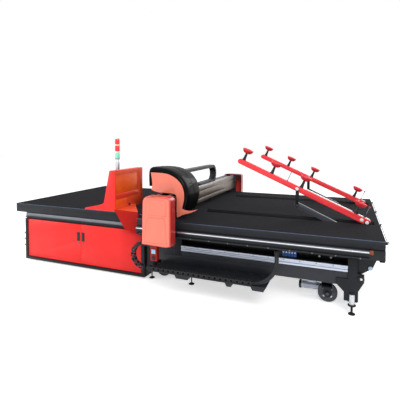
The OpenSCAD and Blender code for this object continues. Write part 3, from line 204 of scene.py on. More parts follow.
finishes = {
    # charcoal powder coat: fine pebbles that break the highlight on tubes
    "charcoalPowderCoat": powder("1f2024", "16171a", 0.5),
    # near-black powder coat of the cabinet, a little smoother
    "blackPowderCoat": powder("131416", "0d0e10", 0.42),
    # slate lacquer on plates and brackets
    "slateLacquer": powder("26282c", "1b1d20", 0.4, 2.4),
    # lacquer of the lower side beams, a shade lighter: painted light on beams that sit in shade
    "ironGreyLacquer": powder("35363b", "28292e", 0.4, 2.4),
    # signal red powder coat with soft orange peel
    "redPowderCoat": powder("f0302c", "e32824", 0.42, 2.2),
    # the desk's red on its working side, painted orange-red as shade with red light bounced onto it
    "orangePowderCoat": powder("dc4c24", "cc3f1c", 0.36, 2.2),
    # deeper red on the sides of the desk and the bracket: the same red, painted darker as shade
    "shadedDeepRed": {**powder("b41d16", "9e1610", 0.45, 2.2), "set": {"Specular IOR Level": 0.08}},
    # mid-grey lacquer of the arms' levers
    "greyLacquer": powder("4a4c52", "3d3e44", 0.42, 2.4),
    # red gloss lacquer of the loading arms
    "redGlossLacquer": powder("fc464b", "ee3b41", 0.3, 3.0),
    # coral red moulding: high gloss, with a clear reflection
    "coralMoulding": moulded("f0826c", "ea7660", 0.3, 0.3),
    # the same moulding where its edges turn away from the light, a clearer red: painted shade
    "edgeShadeMoulding": moulded("e24a3e", "d43f34", 0.25, 0.5),
    # groove line pressed into the moulding, painted a little darker as shade in the groove
    "grooveMoulding": moulded("e67562", "dc6a57", 0.35, 0.2),
    # darker red of the moulding's rolled rim: painted shade on the sides that turn away from the light
    "rimShadeMoulding": moulded("a82c27", "96231f", 0.25, 0.5),
    # piano black moulding of the head cover
    "blackGlossMoulding": {**moulded("050506", "0a0a0c", 0.4),
                           "set": {"Coat Weight": 0.11, "Coat Roughness": 0.03, "Specular IOR Level": 0.03}},
    # satin black nylon of chains, knobs and small parts
    "blackNylon": moulded("17181a", "202124", 0.45, 0.1),
    # graphite nylon of the beam chain's straight runs, paler as painted light falling on their tops
    "graphiteNylon": moulded("3b3936", "494743", 0.45, 0.1),
    # black rubber of feet and tyres
    "blackRubber": soft("1a1a1b", "242425"),
    # red silicone of the suction cups, dull and a little dusty
    "redSilicone": soft("d8343b", "c02b32", 0.5),
    # dense felt: fibres stand up in all directions, with pricked air holes in rows, painted near black as
    # shade inside them
    "blackFelt": {"colour": "17171a", "rough": 0.9, "set": {"Specular IOR Level": 0.06}, "layers": [
        {"kind": "noise", "size": 420, "tint": "1d1d21", "share": 0.6},
        {"kind": "noise", "size": 3, "stretch": (1, 5, 1), "tint": "222226", "share": 0.6, "height": 0.3},
        {"kind": "noise", "size": 3, "stretch": (5, 1, 1), "tint": "0f0f11", "share": 0.5, "height": 0.3},
        {"kind": "dots", "size": 100, "stretch": (1, 1, 0), "radius": 5, "tint": "050506", "height": -0.8}]},
    # laminated board edge, faint bands of its plies
    "darkBoard": {"colour": "26272b", "rough": 0.55, "set": {"Specular IOR Level": 0.2}, "layers": [
        {"kind": "wave", "size": 7, "along": "Z", "tint": "303237", "share": 0.6, "bend": 0.4},
        {"kind": "noise", "size": 30, "stretch": (1, 1, 12), "tint": "1c1d20", "share": 0.5,
         "height": 0.05}]},
    # drawn aluminium, clear anodised, with long draw lines
    "clearAluminium": metal("c9cbce", "b4b6ba", 0.3),
    # aluminium edge trim, painted slate blue as the bluish highlight along the bed's top edge
    "blueAluminium": metal("535d70", "454e60", 0.36),
    # black anodised rail bed, satin, with long draw lines
    "blackAnodised": {"colour": "17181b", "rough": 0.38, "set": {"Specular IOR Level": 0.25}, "layers": [
        {"kind": "noise", "size": 60, "stretch": (1, 40, 40), "tint": "202126", "share": 0.6, "roughen": 0.1},
        {"kind": "noise", "size": 200, "tint": "111215", "share": 0.5}]},
    # satin grey profile of the cable ducts
    "satinAluminium": metal("bfc5d2", "aab0bd", 0.4),
    # mid-grey brushed strip over the cabinet doors
    "brushedTrim": metal("7c7f85", "6a6d73", 0.42),
    # bronze anodised beam, satin
    "bronzeAluminium": metal("8a8078", "776d66", 0.36, (40, 1, 40)),
    # ground guide steel, bright and finely scratched
    "groundSteel": metal("b4b6bc", "9fa1a8", 0.24, (1, 60, 60), 40),
    # polished race of the rails, brighter than the rail: partly the real race, partly a painted highlight
    # line
    "brightSteel": metal("dfe1e6", "cccfd6", 0.25, (1, 80, 80), 30, 0.004),
    # turned or milled steel with tool marks
    "milledSteel": metal("6f7176", "5d5f64", 0.34, (30, 30, 1), 8, 0.02),
    # grey cast iron of the travel wheels
    "castIron": {"colour": "55565a", "rough": 0.55, "set": {"Metallic": 1}, "layers": [
        {"kind": "noise", "size": 40, "tint": "45464a", "share": 0.6, "roughen": 0.1},
        {"kind": "cells", "size": 2, "height": 0.12}]},
    # zinc plate with a warm, cloudy sheen
    "zincPlate": {"colour": "c8c2a8", "rough": 0.35, "set": {"Metallic": 1}, "layers": [
        {"kind": "cells", "size": 18, "tint": "b4ac8c", "share": 0.5, "roughen": 0.1},
        {"kind": "noise", "size": 120, "tint": "d4d0bc", "share": 0.5}]},
    # brass, turned
    "turnedBrass": metal("c8a050", "ae8840", 0.25, (1, 1, 60), 20),
    # silver paint on motors, sandy from the casting under it
    "silverPaint": {"colour": "d4d9e6", "rough": 0.4, "set": {"Metallic": 0.3}, "layers": [
        {"kind": "noise", "size": 60, "tint": "b6bac6", "share": 0.5},
        {"kind": "cells", "size": 1.8, "height": 0.08}]},
    # red paint on the cast motors
    "redCastPaint": powder("9f2019", "82150f", 0.4, 3.0),
    # white enamel, thick and even
    "whiteEnamel": moulded("e9e9e6", "dededb", 0.25, 0.4),
    # pale blue stove enamel
    "skyEnamel": moulded("b4c6dc", "a8bbd2", 0.3, 0.4),
    # light grey glass-filled nylon of the glands
    "greyNylon": moulded("a9abad", "9a9c9f", 0.5, 0.0),
    # blue anodised and moulded valve bodies
    "blueMoulding": moulded("2f63b8", "25529b", 0.35, 0.2),
    # pale blue label plate of the motors
    "skyPlate": moulded("9cc4de", "88b2d0", 0.3, 0.4),
    # orange-brown polyurethane buffer
    "amberRubber": soft("8c4630", "783a26", 0.45),
    # orange over the operator's window: painted light, red light bounced round inside the recess
    "orangeFilm": {"colour": "ee6224", "rough": 0.28,
                   "set": {"Coat Weight": 0.15, "Specular IOR Level": 0.15}, "layers": [
        {"kind": "noise", "size": 300, "tint": "d4430f", "share": 0.7},
        {"kind": "noise", "size": 0.6, "height": 0.01, "roughen": 0.08}]},
    # darker strip under the window
    "smokedFilm": moulded("d8381f", "c63019", 0.3, 0.4),
    # lenses of the light tower, lit through
    "redLens": moulded("f23a40", "e63038", 0.22, 0.5),
    "creamLens": moulded("e8dcc2", "dccfb2", 0.22, 0.7),
    "whiteLens": moulded("eceae6", "e0deda", 0.22, 0.7),
    "mintLens": moulded("8fe6c0", "7fdcb2", 0.22, 0.5),
    # dark red mushroom head of the stop knob
    "redButton": moulded("8e1a16", "7a1411", 0.25, 0.5),
}
materials = {name: buildMaterial(name, spec) for name, spec in finishes.items()}
print("materials", len(materials))


# ---- modelling helpers ----

def clearSelection():
    if bpy.context.object and bpy.context.object.mode != "OBJECT":
        bpy.ops.object.mode_set(mode="OBJECT")
    bpy.ops.object.select_all(action="DESELECT")


def activate(obj):
    clearSelection()
    obj.select_set(True)
    bpy.context.view_layer.objects.active = obj


def edit(obj, choose=None):
    # Into edit mode with every vertex picked, or only those that the rule picks.
    activate(obj)
    bpy.ops.object.mode_set(mode="EDIT")
    bpy.ops.mesh.select_mode(type="VERT")
    bpy.ops.mesh.select_all(action="DESELECT" if choose else "SELECT")
    if choose:
        bpy.ops.object.mode_set(mode="OBJECT")
        for vertex in obj.data.vertices:
            vertex.select = choose(vertex.co)
        bpy.ops.object.mode_set(mode="EDIT")


def deleteFaces(obj, choose):
    edit(obj)
    bpy.ops.mesh.select_mode(type="FACE")
    bpy.ops.mesh.select_all(action="DESELECT")
    bpy.ops.object.mode_set(mode="OBJECT")
    for face in obj.data.polygons:
        face.select = choose(face)
    bpy.ops.object.mode_set(mode="EDIT")
    bpy.ops.mesh.delete(type="FACE")
    bpy.ops.object.mode_set(mode="OBJECT")


def leaveEdit():
    bpy.ops.object.mode_set(mode="OBJECT")


def applyBevel(obj, width, segments=2, angle=30):
    activate(obj)
    bevel = obj.modifiers.new("bevel", "BEVEL")
    bevel.width = width
    bevel.segments = segments
    bevel.limit_method = "ANGLE"
    bevel.angle_limit = math.radians(angle)
    bpy.ops.object.modifier_apply(modifier=bevel.name)
    bpy.ops.object.shade_smooth_by_angle(angle=math.radians(40))


def addBox(low, high, bevel=0.002, segments=2):
    low, high = Vector(low), Vector(high)
    clearSelection()
    bpy.ops.mesh.primitive_cube_add(size=1, location=(low + high) / 2)
    obj = bpy.context.object
    obj.scale = high - low
    bpy.ops.object.transform_apply(location=True, rotation=True, scale=True)
    bpy.ops.object.mode_set(mode="EDIT")
    bpy.ops.mesh.select_all(action="SELECT")
    bpy.ops.mesh.bevel(offset=bevel, segments=segments)
    leaveEdit()
    bpy.ops.object.shade_smooth_by_angle(angle=math.radians(40))
    return obj


def alongAxis(axis):
    # Turns something that stands along Z until it lies along the axis.
    return {"X": Matrix.Rotation(math.pi / 2, 4, "Y"), "Y": Matrix.Rotation(-math.pi / 2, 4, "X"),
            "Z": Matrix.Identity(4)}[axis]


def addLathe(profile, centre=(0, 0, 0), axis="Z", steps=32, smooth=35):
    # A closed outline of (radius, height) pairs turned right round.
    clearSelection()
    bpy.ops.mesh.primitive_circle_add(vertices=len(profile), radius=1, fill_type="NOTHING")
    obj = bpy.context.object
    for vertex, (radius, height) in zip(obj.data.vertices, profile):
        vertex.co = (radius, 0, height)
    edit(obj)
    bpy.ops.mesh.spin(steps=steps, angle=2 * math.pi, center=(0, 0, 0), axis=(0, 0, 1))
    bpy.ops.mesh.select_all(action="SELECT")
    bpy.ops.mesh.remove_doubles(threshold=0.00001)
    bpy.ops.mesh.delete_loose(use_verts=True, use_edges=True, use_faces=False)
    bpy.ops.mesh.select_all(action="SELECT")
    bpy.ops.mesh.normals_make_consistent(inside=False)
    leaveEdit()
    obj.data.transform(Matrix.Translation(Vector(centre)) @ alongAxis(axis))
    bpy.ops.object.shade_smooth_by_angle(angle=math.radians(smooth))
    return obj


def rounded(radius, length, edge):
    # Lathe outline of a plain rod with softened ends.
    return [(0, 0), (radius - edge, 0), (radius - edge * 0.3, edge * 0.3), (radius, edge),
            (radius, length - edge), (radius - edge * 0.3, length - edge * 0.3), (radius - edge, length),
            (0, length)]


def addRod(centre, radius, length, axis="Z", edge=0.001, steps=32):
    return addLathe(rounded(radius, length, edge), centre, axis, steps)


def addOutline(points, y0, y1, bevel=0.002, segments=3, angle=30):
    # A flat XZ outline made solid between two places across the machine.
    clearSelection()
    bpy.ops.mesh.primitive_circle_add(vertices=len(points), radius=1, fill_type="NGON")
    obj = bpy.context.object
    for vertex, (x, z) in zip(obj.data.vertices, points):
        vertex.co = (x, y0, z)
    edit(obj)
    bpy.ops.mesh.extrude_region_move(TRANSFORM_OT_translate={"value": (0, y1 - y0, 0)})
    bpy.ops.mesh.select_all(action="SELECT")
    bpy.ops.mesh.normals_make_consistent(inside=False)
    leaveEdit()
    applyBevel(obj, bevel, segments, angle)
    return obj


def addLoft(sections, closed=True, caps=True):
    # Rings of points joined one after another; every ring has the same number of points.
    count = len(sections[0])
    across = count if closed else count - 1
    clearSelection()
    bpy.ops.mesh.primitive_grid_add(x_subdivisions=across, y_subdivisions=len(sections) - 1)
    obj = bpy.context.object
    index = 0
    for section in sections:
        for k in range(across + 1):
            obj.data.vertices[index].co = section[k % count]
            index += 1
    edit(obj)
    bpy.ops.mesh.remove_doubles(threshold=0.00002)
    if caps:
        bpy.ops.mesh.select_all(action="DESELECT")
        bpy.ops.mesh.select_non_manifold()
        bpy.ops.mesh.edge_face_add()
        bpy.ops.mesh.select_all(action="SELECT")
    bpy.ops.mesh.normals_make_consistent(inside=False)
    leaveEdit()
    bpy.ops.object.shade_smooth_by_angle(angle=math.radians(35))
    return obj


def smoothPath(points, steps):
    # Catmull-Rom points through a list of places.
    points = [Vector(p) for p in points]
    path = []
    for i in range(len(points) - 1):
        p0 = points[max(i - 1, 0)]
        p1 = points[i]
        p2 = points[i + 1]
        p3 = points[min(i + 2, len(points) - 1)]
        for k in range(steps):
            t = k / steps
            path.append(0.5 * (2 * p1 + (p2 - p0) * t + (2 * p0 - 5 * p1 + 4 * p2 - p3) * t ** 2
                               + (3 * p1 - p0 - 3 * p2 + p3) * t ** 3))
    return path + [points[-1]]


def addTube(points, radius, sides=12):
    # A round tube along a path; radius is a number or a function of the ring's index.
    size = radius if callable(radius) else (lambda i: radius)
    direction = (points[1] - points[0]).normalized()
    side = direction.orthogonal().normalized()
    rings = []
    for i, point in enumerate(points):
        direction = (points[min(i + 1, len(points) - 1)] - points[max(i - 1, 0)]).normalized()
        side = (side - direction * side.dot(direction)).normalized()
        up = direction.cross(side)
        rings.append([point + size(i) * (math.cos(a) * side + math.sin(a) * up)
                      for a in (2 * math.pi * k / sides for k in range(sides))])
    return addLoft(rings)


def copies(obj, places):
    # One copy of the piece at each place, all joined; the first one is removed.
    made = []
    for place in places:
        other = obj.copy()
        other.data = obj.data.copy()
        other.data.transform(place)
        bpy.context.scene.collection.objects.link(other)
        made.append(other)
    bpy.data.objects.remove(obj)
    return joined(made)


def joined(objects):
    clearSelection()
    for obj in objects:
        obj.select_set(True)
    bpy.context.view_layer.objects.active = objects[0]
    if len(objects) > 1:
        bpy.ops.object.join()
    return bpy.context.object


def paint(obj, names, choose=None):
    # One material, or several with a rule that picks one for each face by its centre.
    obj.data.materials.clear()
    for name in [names] if isinstance(names, str) else names:
        obj.data.materials.append(materials[name])
    for face in obj.data.polygons:
        face.material_index = choose(face.center) if choose else 0
    return obj


def place(obj, name, body, slotName=None, replaced=()):
    obj.name = name
    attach(obj, body)
    if replaced:
        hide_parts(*replaced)
    return obj


def softened(node, bevel, names, choose=None, segments=2, extra=()):
    # The CAD node's own shape with its edges broken, in its place.
    source = nodes[node]
    obj = source.copy()
    obj.data = source.data.copy()
    for key in list(obj.keys()):
        del obj[key]
    obj.parent = None
    bpy.context.scene.collection.objects.link(obj)
    edit(obj)
    bpy.ops.mesh.remove_doubles(threshold=0.00002)
    bpy.ops.mesh.dissolve_limited(angle_limit=math.radians(1))
    bpy.ops.mesh.normals_make_consistent(inside=False)
    leaveEdit()
    applyBevel(obj, bevel, segments)
    paint(obj, names, choose)
    if extra:
        obj = joined([obj] + list(extra))
    slots = {part["node"]: part["material_slot"] for part in frame["record"]["subparts"]}
    return place(obj, node + "_finished", source["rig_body"], slots[node], [node])


def bolt(radius, height):
    # Hexagon head with a chamfered rim, standing on its flange.
    clearSelection()
    bpy.ops.mesh.primitive_cylinder_add(vertices=6, radius=radius, depth=height, location=(0, 0, height / 2))
    obj = bpy.context.object
    bpy.ops.object.transform_apply(location=True, rotation=True, scale=True)
    edit(obj)
    bpy.ops.mesh.bevel(offset=height * 0.16, segments=1)
    leaveEdit()
    flange = addRod((0, 0, 0), radius * 1.25, height * 0.25, "Z", height * 0.06, 20)
    return joined([obj, flange])


def boltRow(name, body, places, direction, radius=0.009, height=0.007, finish="milledSteel"):
    turn = Vector((0, 0, 1)).rotation_difference(Vector(direction)).to_matrix().to_4x4()
    obj = copies(bolt(radius, height), [Matrix.Translation(Vector(p)) @ turn for p in places])
    return place(paint(obj, finish), name, body)


# ---- frame: tubes, plates and rails with broken edges ----

softNodes = {
    "break_board": ("darkBoard", 0.002), "cut_board": ("darkBoard", 0.002),
    "break_frame": ("charcoalPowderCoat", 0.003), "cut_frame": ("charcoalPowderCoat", 0.003),
    "rail_beds": ("blackAnodised", 0.002), "gantry_rails": ("milledSteel", 0.001),
    # side beams in the lighter lacquer: painted light where they sit in shade
    "side_beams": ("ironGreyLacquer", 0.005), "cable_profiles": ("satinAluminium", 0.0015),
    "frame_legs": ("charcoalPowderCoat", 0.004), "leg_plates": ("slateLacquer", 0.002),
    "end_gussets": ("charcoalPowderCoat", 0.002), "wheel_beams": ("charcoalPowderCoat", 0.004),
    "axle_brackets": ("slateLacquer", 0.002), "cabinet_shell": ("blackPowderCoat", 0.0015),
    "cabinet_trim": ("brushedTrim", 0.002), "gantry_beam": ("bronzeAluminium", 0.0012),
    "beam_rails": ("groundSteel", 0.001), "end_plates": ("slateLacquer", 0.002),
    "rail_blocks": ("milledSteel", 0.0015), "head_saddle": ("slateLacquer", 0.0015),
    "head_slide": ("clearAluminium", 0.0015), "arm_links": ("blackPowderCoat", 0.001),
    "chain_tray": ("slateLacquer", 0.0012), "closing_panels": ("blackPowderCoat", 0.001),
    "lift_cylinder": ("clearAluminium", 0.002),
    "cutter_holder": ("turnedBrass", 0.0005), "drive_wheels": ("castIron", 0.002),
    "idle_wheels": ("castIron", 0.002),
}
for node, (finish, bevel) in softNodes.items():
    softened(node, bevel, finish)

# Nodes that keep their plain CAD shape, with a finish of their own.
plainNodes = {"break_felt": "blackFelt", "cut_felt": "blackFelt", "gear_racks": "blackAnodised",
              "drive_pinions": "milledSteel",
              "cutter_wheel": "groundSteel"}
for node, finish in plainNodes.items():
    paint(nodes[node], finish)
for name, obj in nodes.items():
    if name not in plainNodes:
        paint(obj, "charcoalPowderCoat")
print("frame")

# ---- beds: edge trims and slot frames ----

bedTrim = {"height": 0.007, "drop": 0.001, "proud": 0.003, "rib": 0.006, "ribDrop": 0.052}


def trimRun(name, corners, high, heightOf):
    # Straight strips round a bed's edge, each between two corners and proud of the board.
    pieces = []
    proud = bedTrim["proud"]
    for (x0, y0), (x1, y1) in zip(corners, corners[1:]):
        low = (min(x0, x1) - proud, min(y0, y1) - proud, high - heightOf)
        top = (max(x0, x1) + proud, max(y0, y1) + proud, high)
        pieces.append(addBox(low, top, 0.001))
    return joined(pieces)


breakCorners = [(jointX - 0.004, -frameY), (leftX, -frameY), (leftX, frameY), (jointX - 0.004, frameY)]
cutCorners = [(jointX, -frameY - 0.004), (jointX, -cutY), (rightX, -cutY), (rightX, cutY), (jointX, cutY),
              (jointX, frameY + 0.004)]
for name, corners in {"break": breakCorners, "cut": cutCorners}.items():
    # the trim's slate blue is a painted highlight along the bed's top edge
    trim = trimRun(name, corners, tableZ - bedTrim["drop"], bedTrim["height"])
    place(paint(trim, "blueAluminium"), name + "_bed_trim", "machine")
    rib = trimRun(name, corners, tableZ - bedTrim["ribDrop"], bedTrim["rib"])
    place(paint(rib, "charcoalPowderCoat"), name + "_bed_rib", "machine")
# ground race along the outer side of each gantry rail, in bright steel on the darker rail as a painted
# highlight line
gantryRailLow, gantryRailHigh = box("gantry_rails")
raceZ = (gantryRailLow.z + gantryRailHigh.z) / 2
races = [addBox((gantryRailLow.x + 0.002, side * gantryRailHigh.y - 0.0006, raceZ - 0.004),
                (gantryRailHigh.x - 0.002, side * gantryRailHigh.y + 0.0006, raceZ + 0.005), 0.0005)
                for side in (-1, 1)]
place(paint(joined(races), "brightSteel"), "rail_races", "machine")

# ---- cabinet ----

doorPull = {"width": 0.046, "height": 0.124, "fromEdge": 0.018, "at": 0.68, "proud": 0.004}


def door(node, side):
    low, high = box(node)
    x = high.x - doorPull["fromEdge"] - doorPull["width"] if side < 0 else low.x + doorPull["fromEdge"]
    z = low.z + (high.z - low.z) * doorPull["at"] - doorPull["height"] / 2
    finished = softened(node, 0.002, ["redPowderCoat", "blackNylon"],
                        lambda c: 1 if x - 0.001 < c.x < x + doorPull["width"] + 0.001
                        and z < c.z < z + doorPull["height"]
                        and c.y < high.y - 0.002 and c.y > low.y + 0.001 else 0)
    grip = addBox((x + 0.004, low.y - doorPull["proud"], z + 0.05),
                  (x + doorPull["width"] - 0.004, high.y - 0.006, z + doorPull["height"] - 0.004), 0.004, 3)
    rim = addBox((x - 0.004, low.y - 0.002, z - 0.004),
                 (x + doorPull["width"] + 0.004, low.y + 0.001, z + doorPull["height"] + 0.004), 0.0009)
    body = finished["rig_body"]
    place(paint(grip, "blackNylon"), node + "_grip", body)
    place(paint(rim, "blackNylon"), node + "_grip_rim", body)
    lock = addLathe([(0, 0), (0.011, 0), (0.012, 0.002), (0.0115, 0.005), (0.004, 0.006), (0.003, 0.0035),
                     (0, 0.0035)],
                    (x + doorPull["width"] / 2, low.y, z - 0.04), "Y", 24)
    lock.data.transform(Matrix.Translation((0, -0.005, 0)))
    place(paint(lock, "milledSteel"), node + "_lock", body)


door("door_left", -1)
door("door_right", 1)

shellLow, shellHigh = box("cabinet_shell")
doorLow, doorHigh = box("door_left")[0], box("door_right")[1]
front, back = shellLow.y - 0.008, shellLow.y - 0.0005
frameBars = [
    addBox((shellLow.x, front, 0.021), (shellHigh.x, back, 0.062), 0.002),
    addBox((shellLow.x, front, 0.0625), (doorLow.x - 0.004, back, doorHigh.z + 0.0035), 0.002),
    addBox((doorHigh.x + 0.008, front, 0.0625), (shellHigh.x - 0.002, back, doorHigh.z + 0.0035), 0.002),
    addBox((shellLow.x, front, doorHigh.z + 0.016), (shellHigh.x - 0.002, back, doorHigh.z + 0.034), 0.002)]
place(paint(joined(frameBars), "blackPowderCoat"), "cabinet_frame", "machine")

# Mounting plate with drives, and grilles in the drives.
plateLow, plateHigh = box("cabinet_plate")
softened("cabinet_plate", 0.0015, ["zincPlate", "whiteEnamel", "slateLacquer"],
         lambda c: 1 if c.y < plateHigh.y - 0.115 else 2 if c.y < plateHigh.y - 0.036 else 0)
slots = []
for i in range(4):
    for k in range(9):
        x = plateLow.x + 0.135 + i * 0.23
        z = plateLow.z + 0.09 + k * 0.022
        slots.append(addBox((x, plateHigh.y - 0.206, z), (x + 0.1, plateHigh.y - 0.2, z + 0.009), 0.001))
place(paint(joined(slots), "blackNylon"), "drive_grilles", "machine")

glandLow, glandHigh = box("cable_glands")
glandProfile = [(0, 0), (0.026, 0), (0.026, 0.013), (0.021, 0.015), (0.021, 0.024), (0.0195, 0.026),
                (0.0195, 0.05), (0.017, 0.06),
                (0.013, 0.068), (0.011, 0.07), (0.011, 0.084), (0.009, 0.085), (0, 0.085)]
glands = copies(addLathe(glandProfile), [
    Matrix.Translation((glandHigh.x, (glandLow.y + glandHigh.y) / 2, z))
    @ Matrix.Rotation(-math.pi / 2, 4, "Y")
    for z in (0.222, 0.32, 0.418)])
place(paint(glands, "greyNylon"), "cable_glands_finished", "machine", "gland_grey", ["cable_glands"])

# ---- desk ----

deskHigh = box("desk_body")[1]
panelLow, panelHigh = box("desk_panel")
# the desk's right face is painted orange-red: shade and bounced light on the same red
softened("desk_body", 0.0025, ["redPowderCoat", "orangePowderCoat"],
         lambda c: 1 if c.x > deskHigh.x - 0.0015 else 0)
# the window opening is painted orange as red light bounced inside the recess
window = addBox(panelLow, (panelHigh.x - 0.001, panelHigh.y, panelHigh.z), 0.0015)
place(paint(window, "orangeFilm"), "desk_panel_finished", "machine", "panel_orange", ["desk_panel"])
frameRim = 0.009
face = deskHigh.x + 0.0008
rim = [(panelLow.y - 0.004, panelLow.y + frameRim, panelLow.z, panelHigh.z),
       (panelHigh.y - frameRim, panelHigh.y + 0.004, panelLow.z, panelHigh.z),
       (panelLow.y - 0.004, panelHigh.y + 0.004, panelHigh.z - frameRim, panelHigh.z + 0.004)]
frameSides = [addBox((face - 0.003, y0, z0), (face + 0.001, y1, z1), 0.0008) for y0, y1, z0, z1 in rim]
# the window frame on the right face takes the same painted orange-red shade
place(paint(joined(frameSides), "orangePowderCoat"), "desk_panel_frame", "machine")
# darker strip under the window, and a glossy plate at the lower front corner in the same painted
# bounced-light orange
strip = addBox((face - 0.003, panelLow.y, panelLow.z - 0.07), (face, panelHigh.y, panelLow.z - 0.001), 0.001)
patch = addBox((face - 0.003, panelLow.y + 0.003, tableZ + 0.035),
               (face, panelLow.y + 0.285, panelLow.z - 0.085), 0.001)
place(joined([paint(strip, "smokedFilm"), paint(patch, "orangeFilm")]), "desk_plates", "machine")
boltRow("desk_panel_screws", "machine", [
    (face, y, z) for y in (panelLow.y + 0.012, panelHigh.y - 0.012)
    for z in (panelLow.z - 0.012, panelHigh.z - 0.014)], (1, 0, 0), 0.006, 0.003)
# bracket painted deeper red, orange-red on its rear faces: the desk's red with painted shade
softened("desk_bracket", 0.005, ["shadedDeepRed", "orangePowderCoat"],
         lambda c: 1 if c.y > -frameY - 0.015 else 0)

knobLow, knobHigh = box("stop_knob")
knobCentre = (deskHigh.x + 0.006, (knobLow.y + knobHigh.y) / 2, (knobLow.z + knobHigh.z) / 2)
knobHead = addLathe([(0, 0), (0.01, 0), (0.011, 0.003), (0.0155, 0.006), (0.016, 0.009), (0.015, 0.012),
                     (0.01, 0.0138), (0, 0.014)],
                    knobCentre, "X", 32)
knobStem = addRod((knobLow.x, knobCentre[1], knobCentre[2]), 0.0088, 0.046, "X", 0.0005, 24)
place(joined([paint(knobHead, "redButton"), paint(knobStem, "blackNylon")]), "stop_knob_finished",
      "stop_button", "stop_red", ["stop_knob"])
collar = addLathe([(0.0172, 0), (0.022, 0), (0.022, 0.002), (0.02, 0.004), (0.0172, 0.004)],
                  (deskHigh.x,) + knobCentre[1:], "X", 32)
place(paint(collar, "blackNylon"), "stop_knob_collar", "machine")

# Light tower: a stack of turned pieces from the base up, each with its own lens.
towerLow, towerHigh = box("light_tower")
towerParts = [
    (0.033, 0.008, "clearAluminium"), (0.031, 0.15, "clearAluminium"), (0.035, 0.02, "greyNylon"),
    (0.035, 0.08, "mintLens"),
    (0.035, 0.02, "whiteLens"), (0.035, 0.083, "redLens"), (0.035, 0.018, "creamLens"),
    (0.035, 0.08, "redLens"),
    (0.03, 0.025, "whiteLens")]
tower = []
height = towerLow.z
for radius, length, finish in towerParts:
    edge = 0.003 if radius > 0.02 else 0.0005
    centre = ((towerLow.x + towerHigh.x) / 2, (towerLow.y + towerHigh.y) / 2, height)
    tower.append(paint(addLathe(rounded(radius, length, edge), centre, "Z", 40, 25), finish))
    height += length
place(joined(tower), "light_tower_finished", "machine", "lamp_plastic", ["light_tower"])
print("cabinet and desk")

# ---- end covers of the gantry ----

coverLow, coverHigh = box("end_covers")
endCover = {"wall": 0.005, "round": 0.02, "raise": 0.003, "right": 0.055, "left": 0.08}


def arcPoints(cx, cz, radius, start, end, steps=8):
    angles = [math.radians(start + (end - start) * k / steps) for k in range(steps + 1)]
    return [(cx + radius * math.cos(a), cz + radius * math.sin(a)) for a in angles]


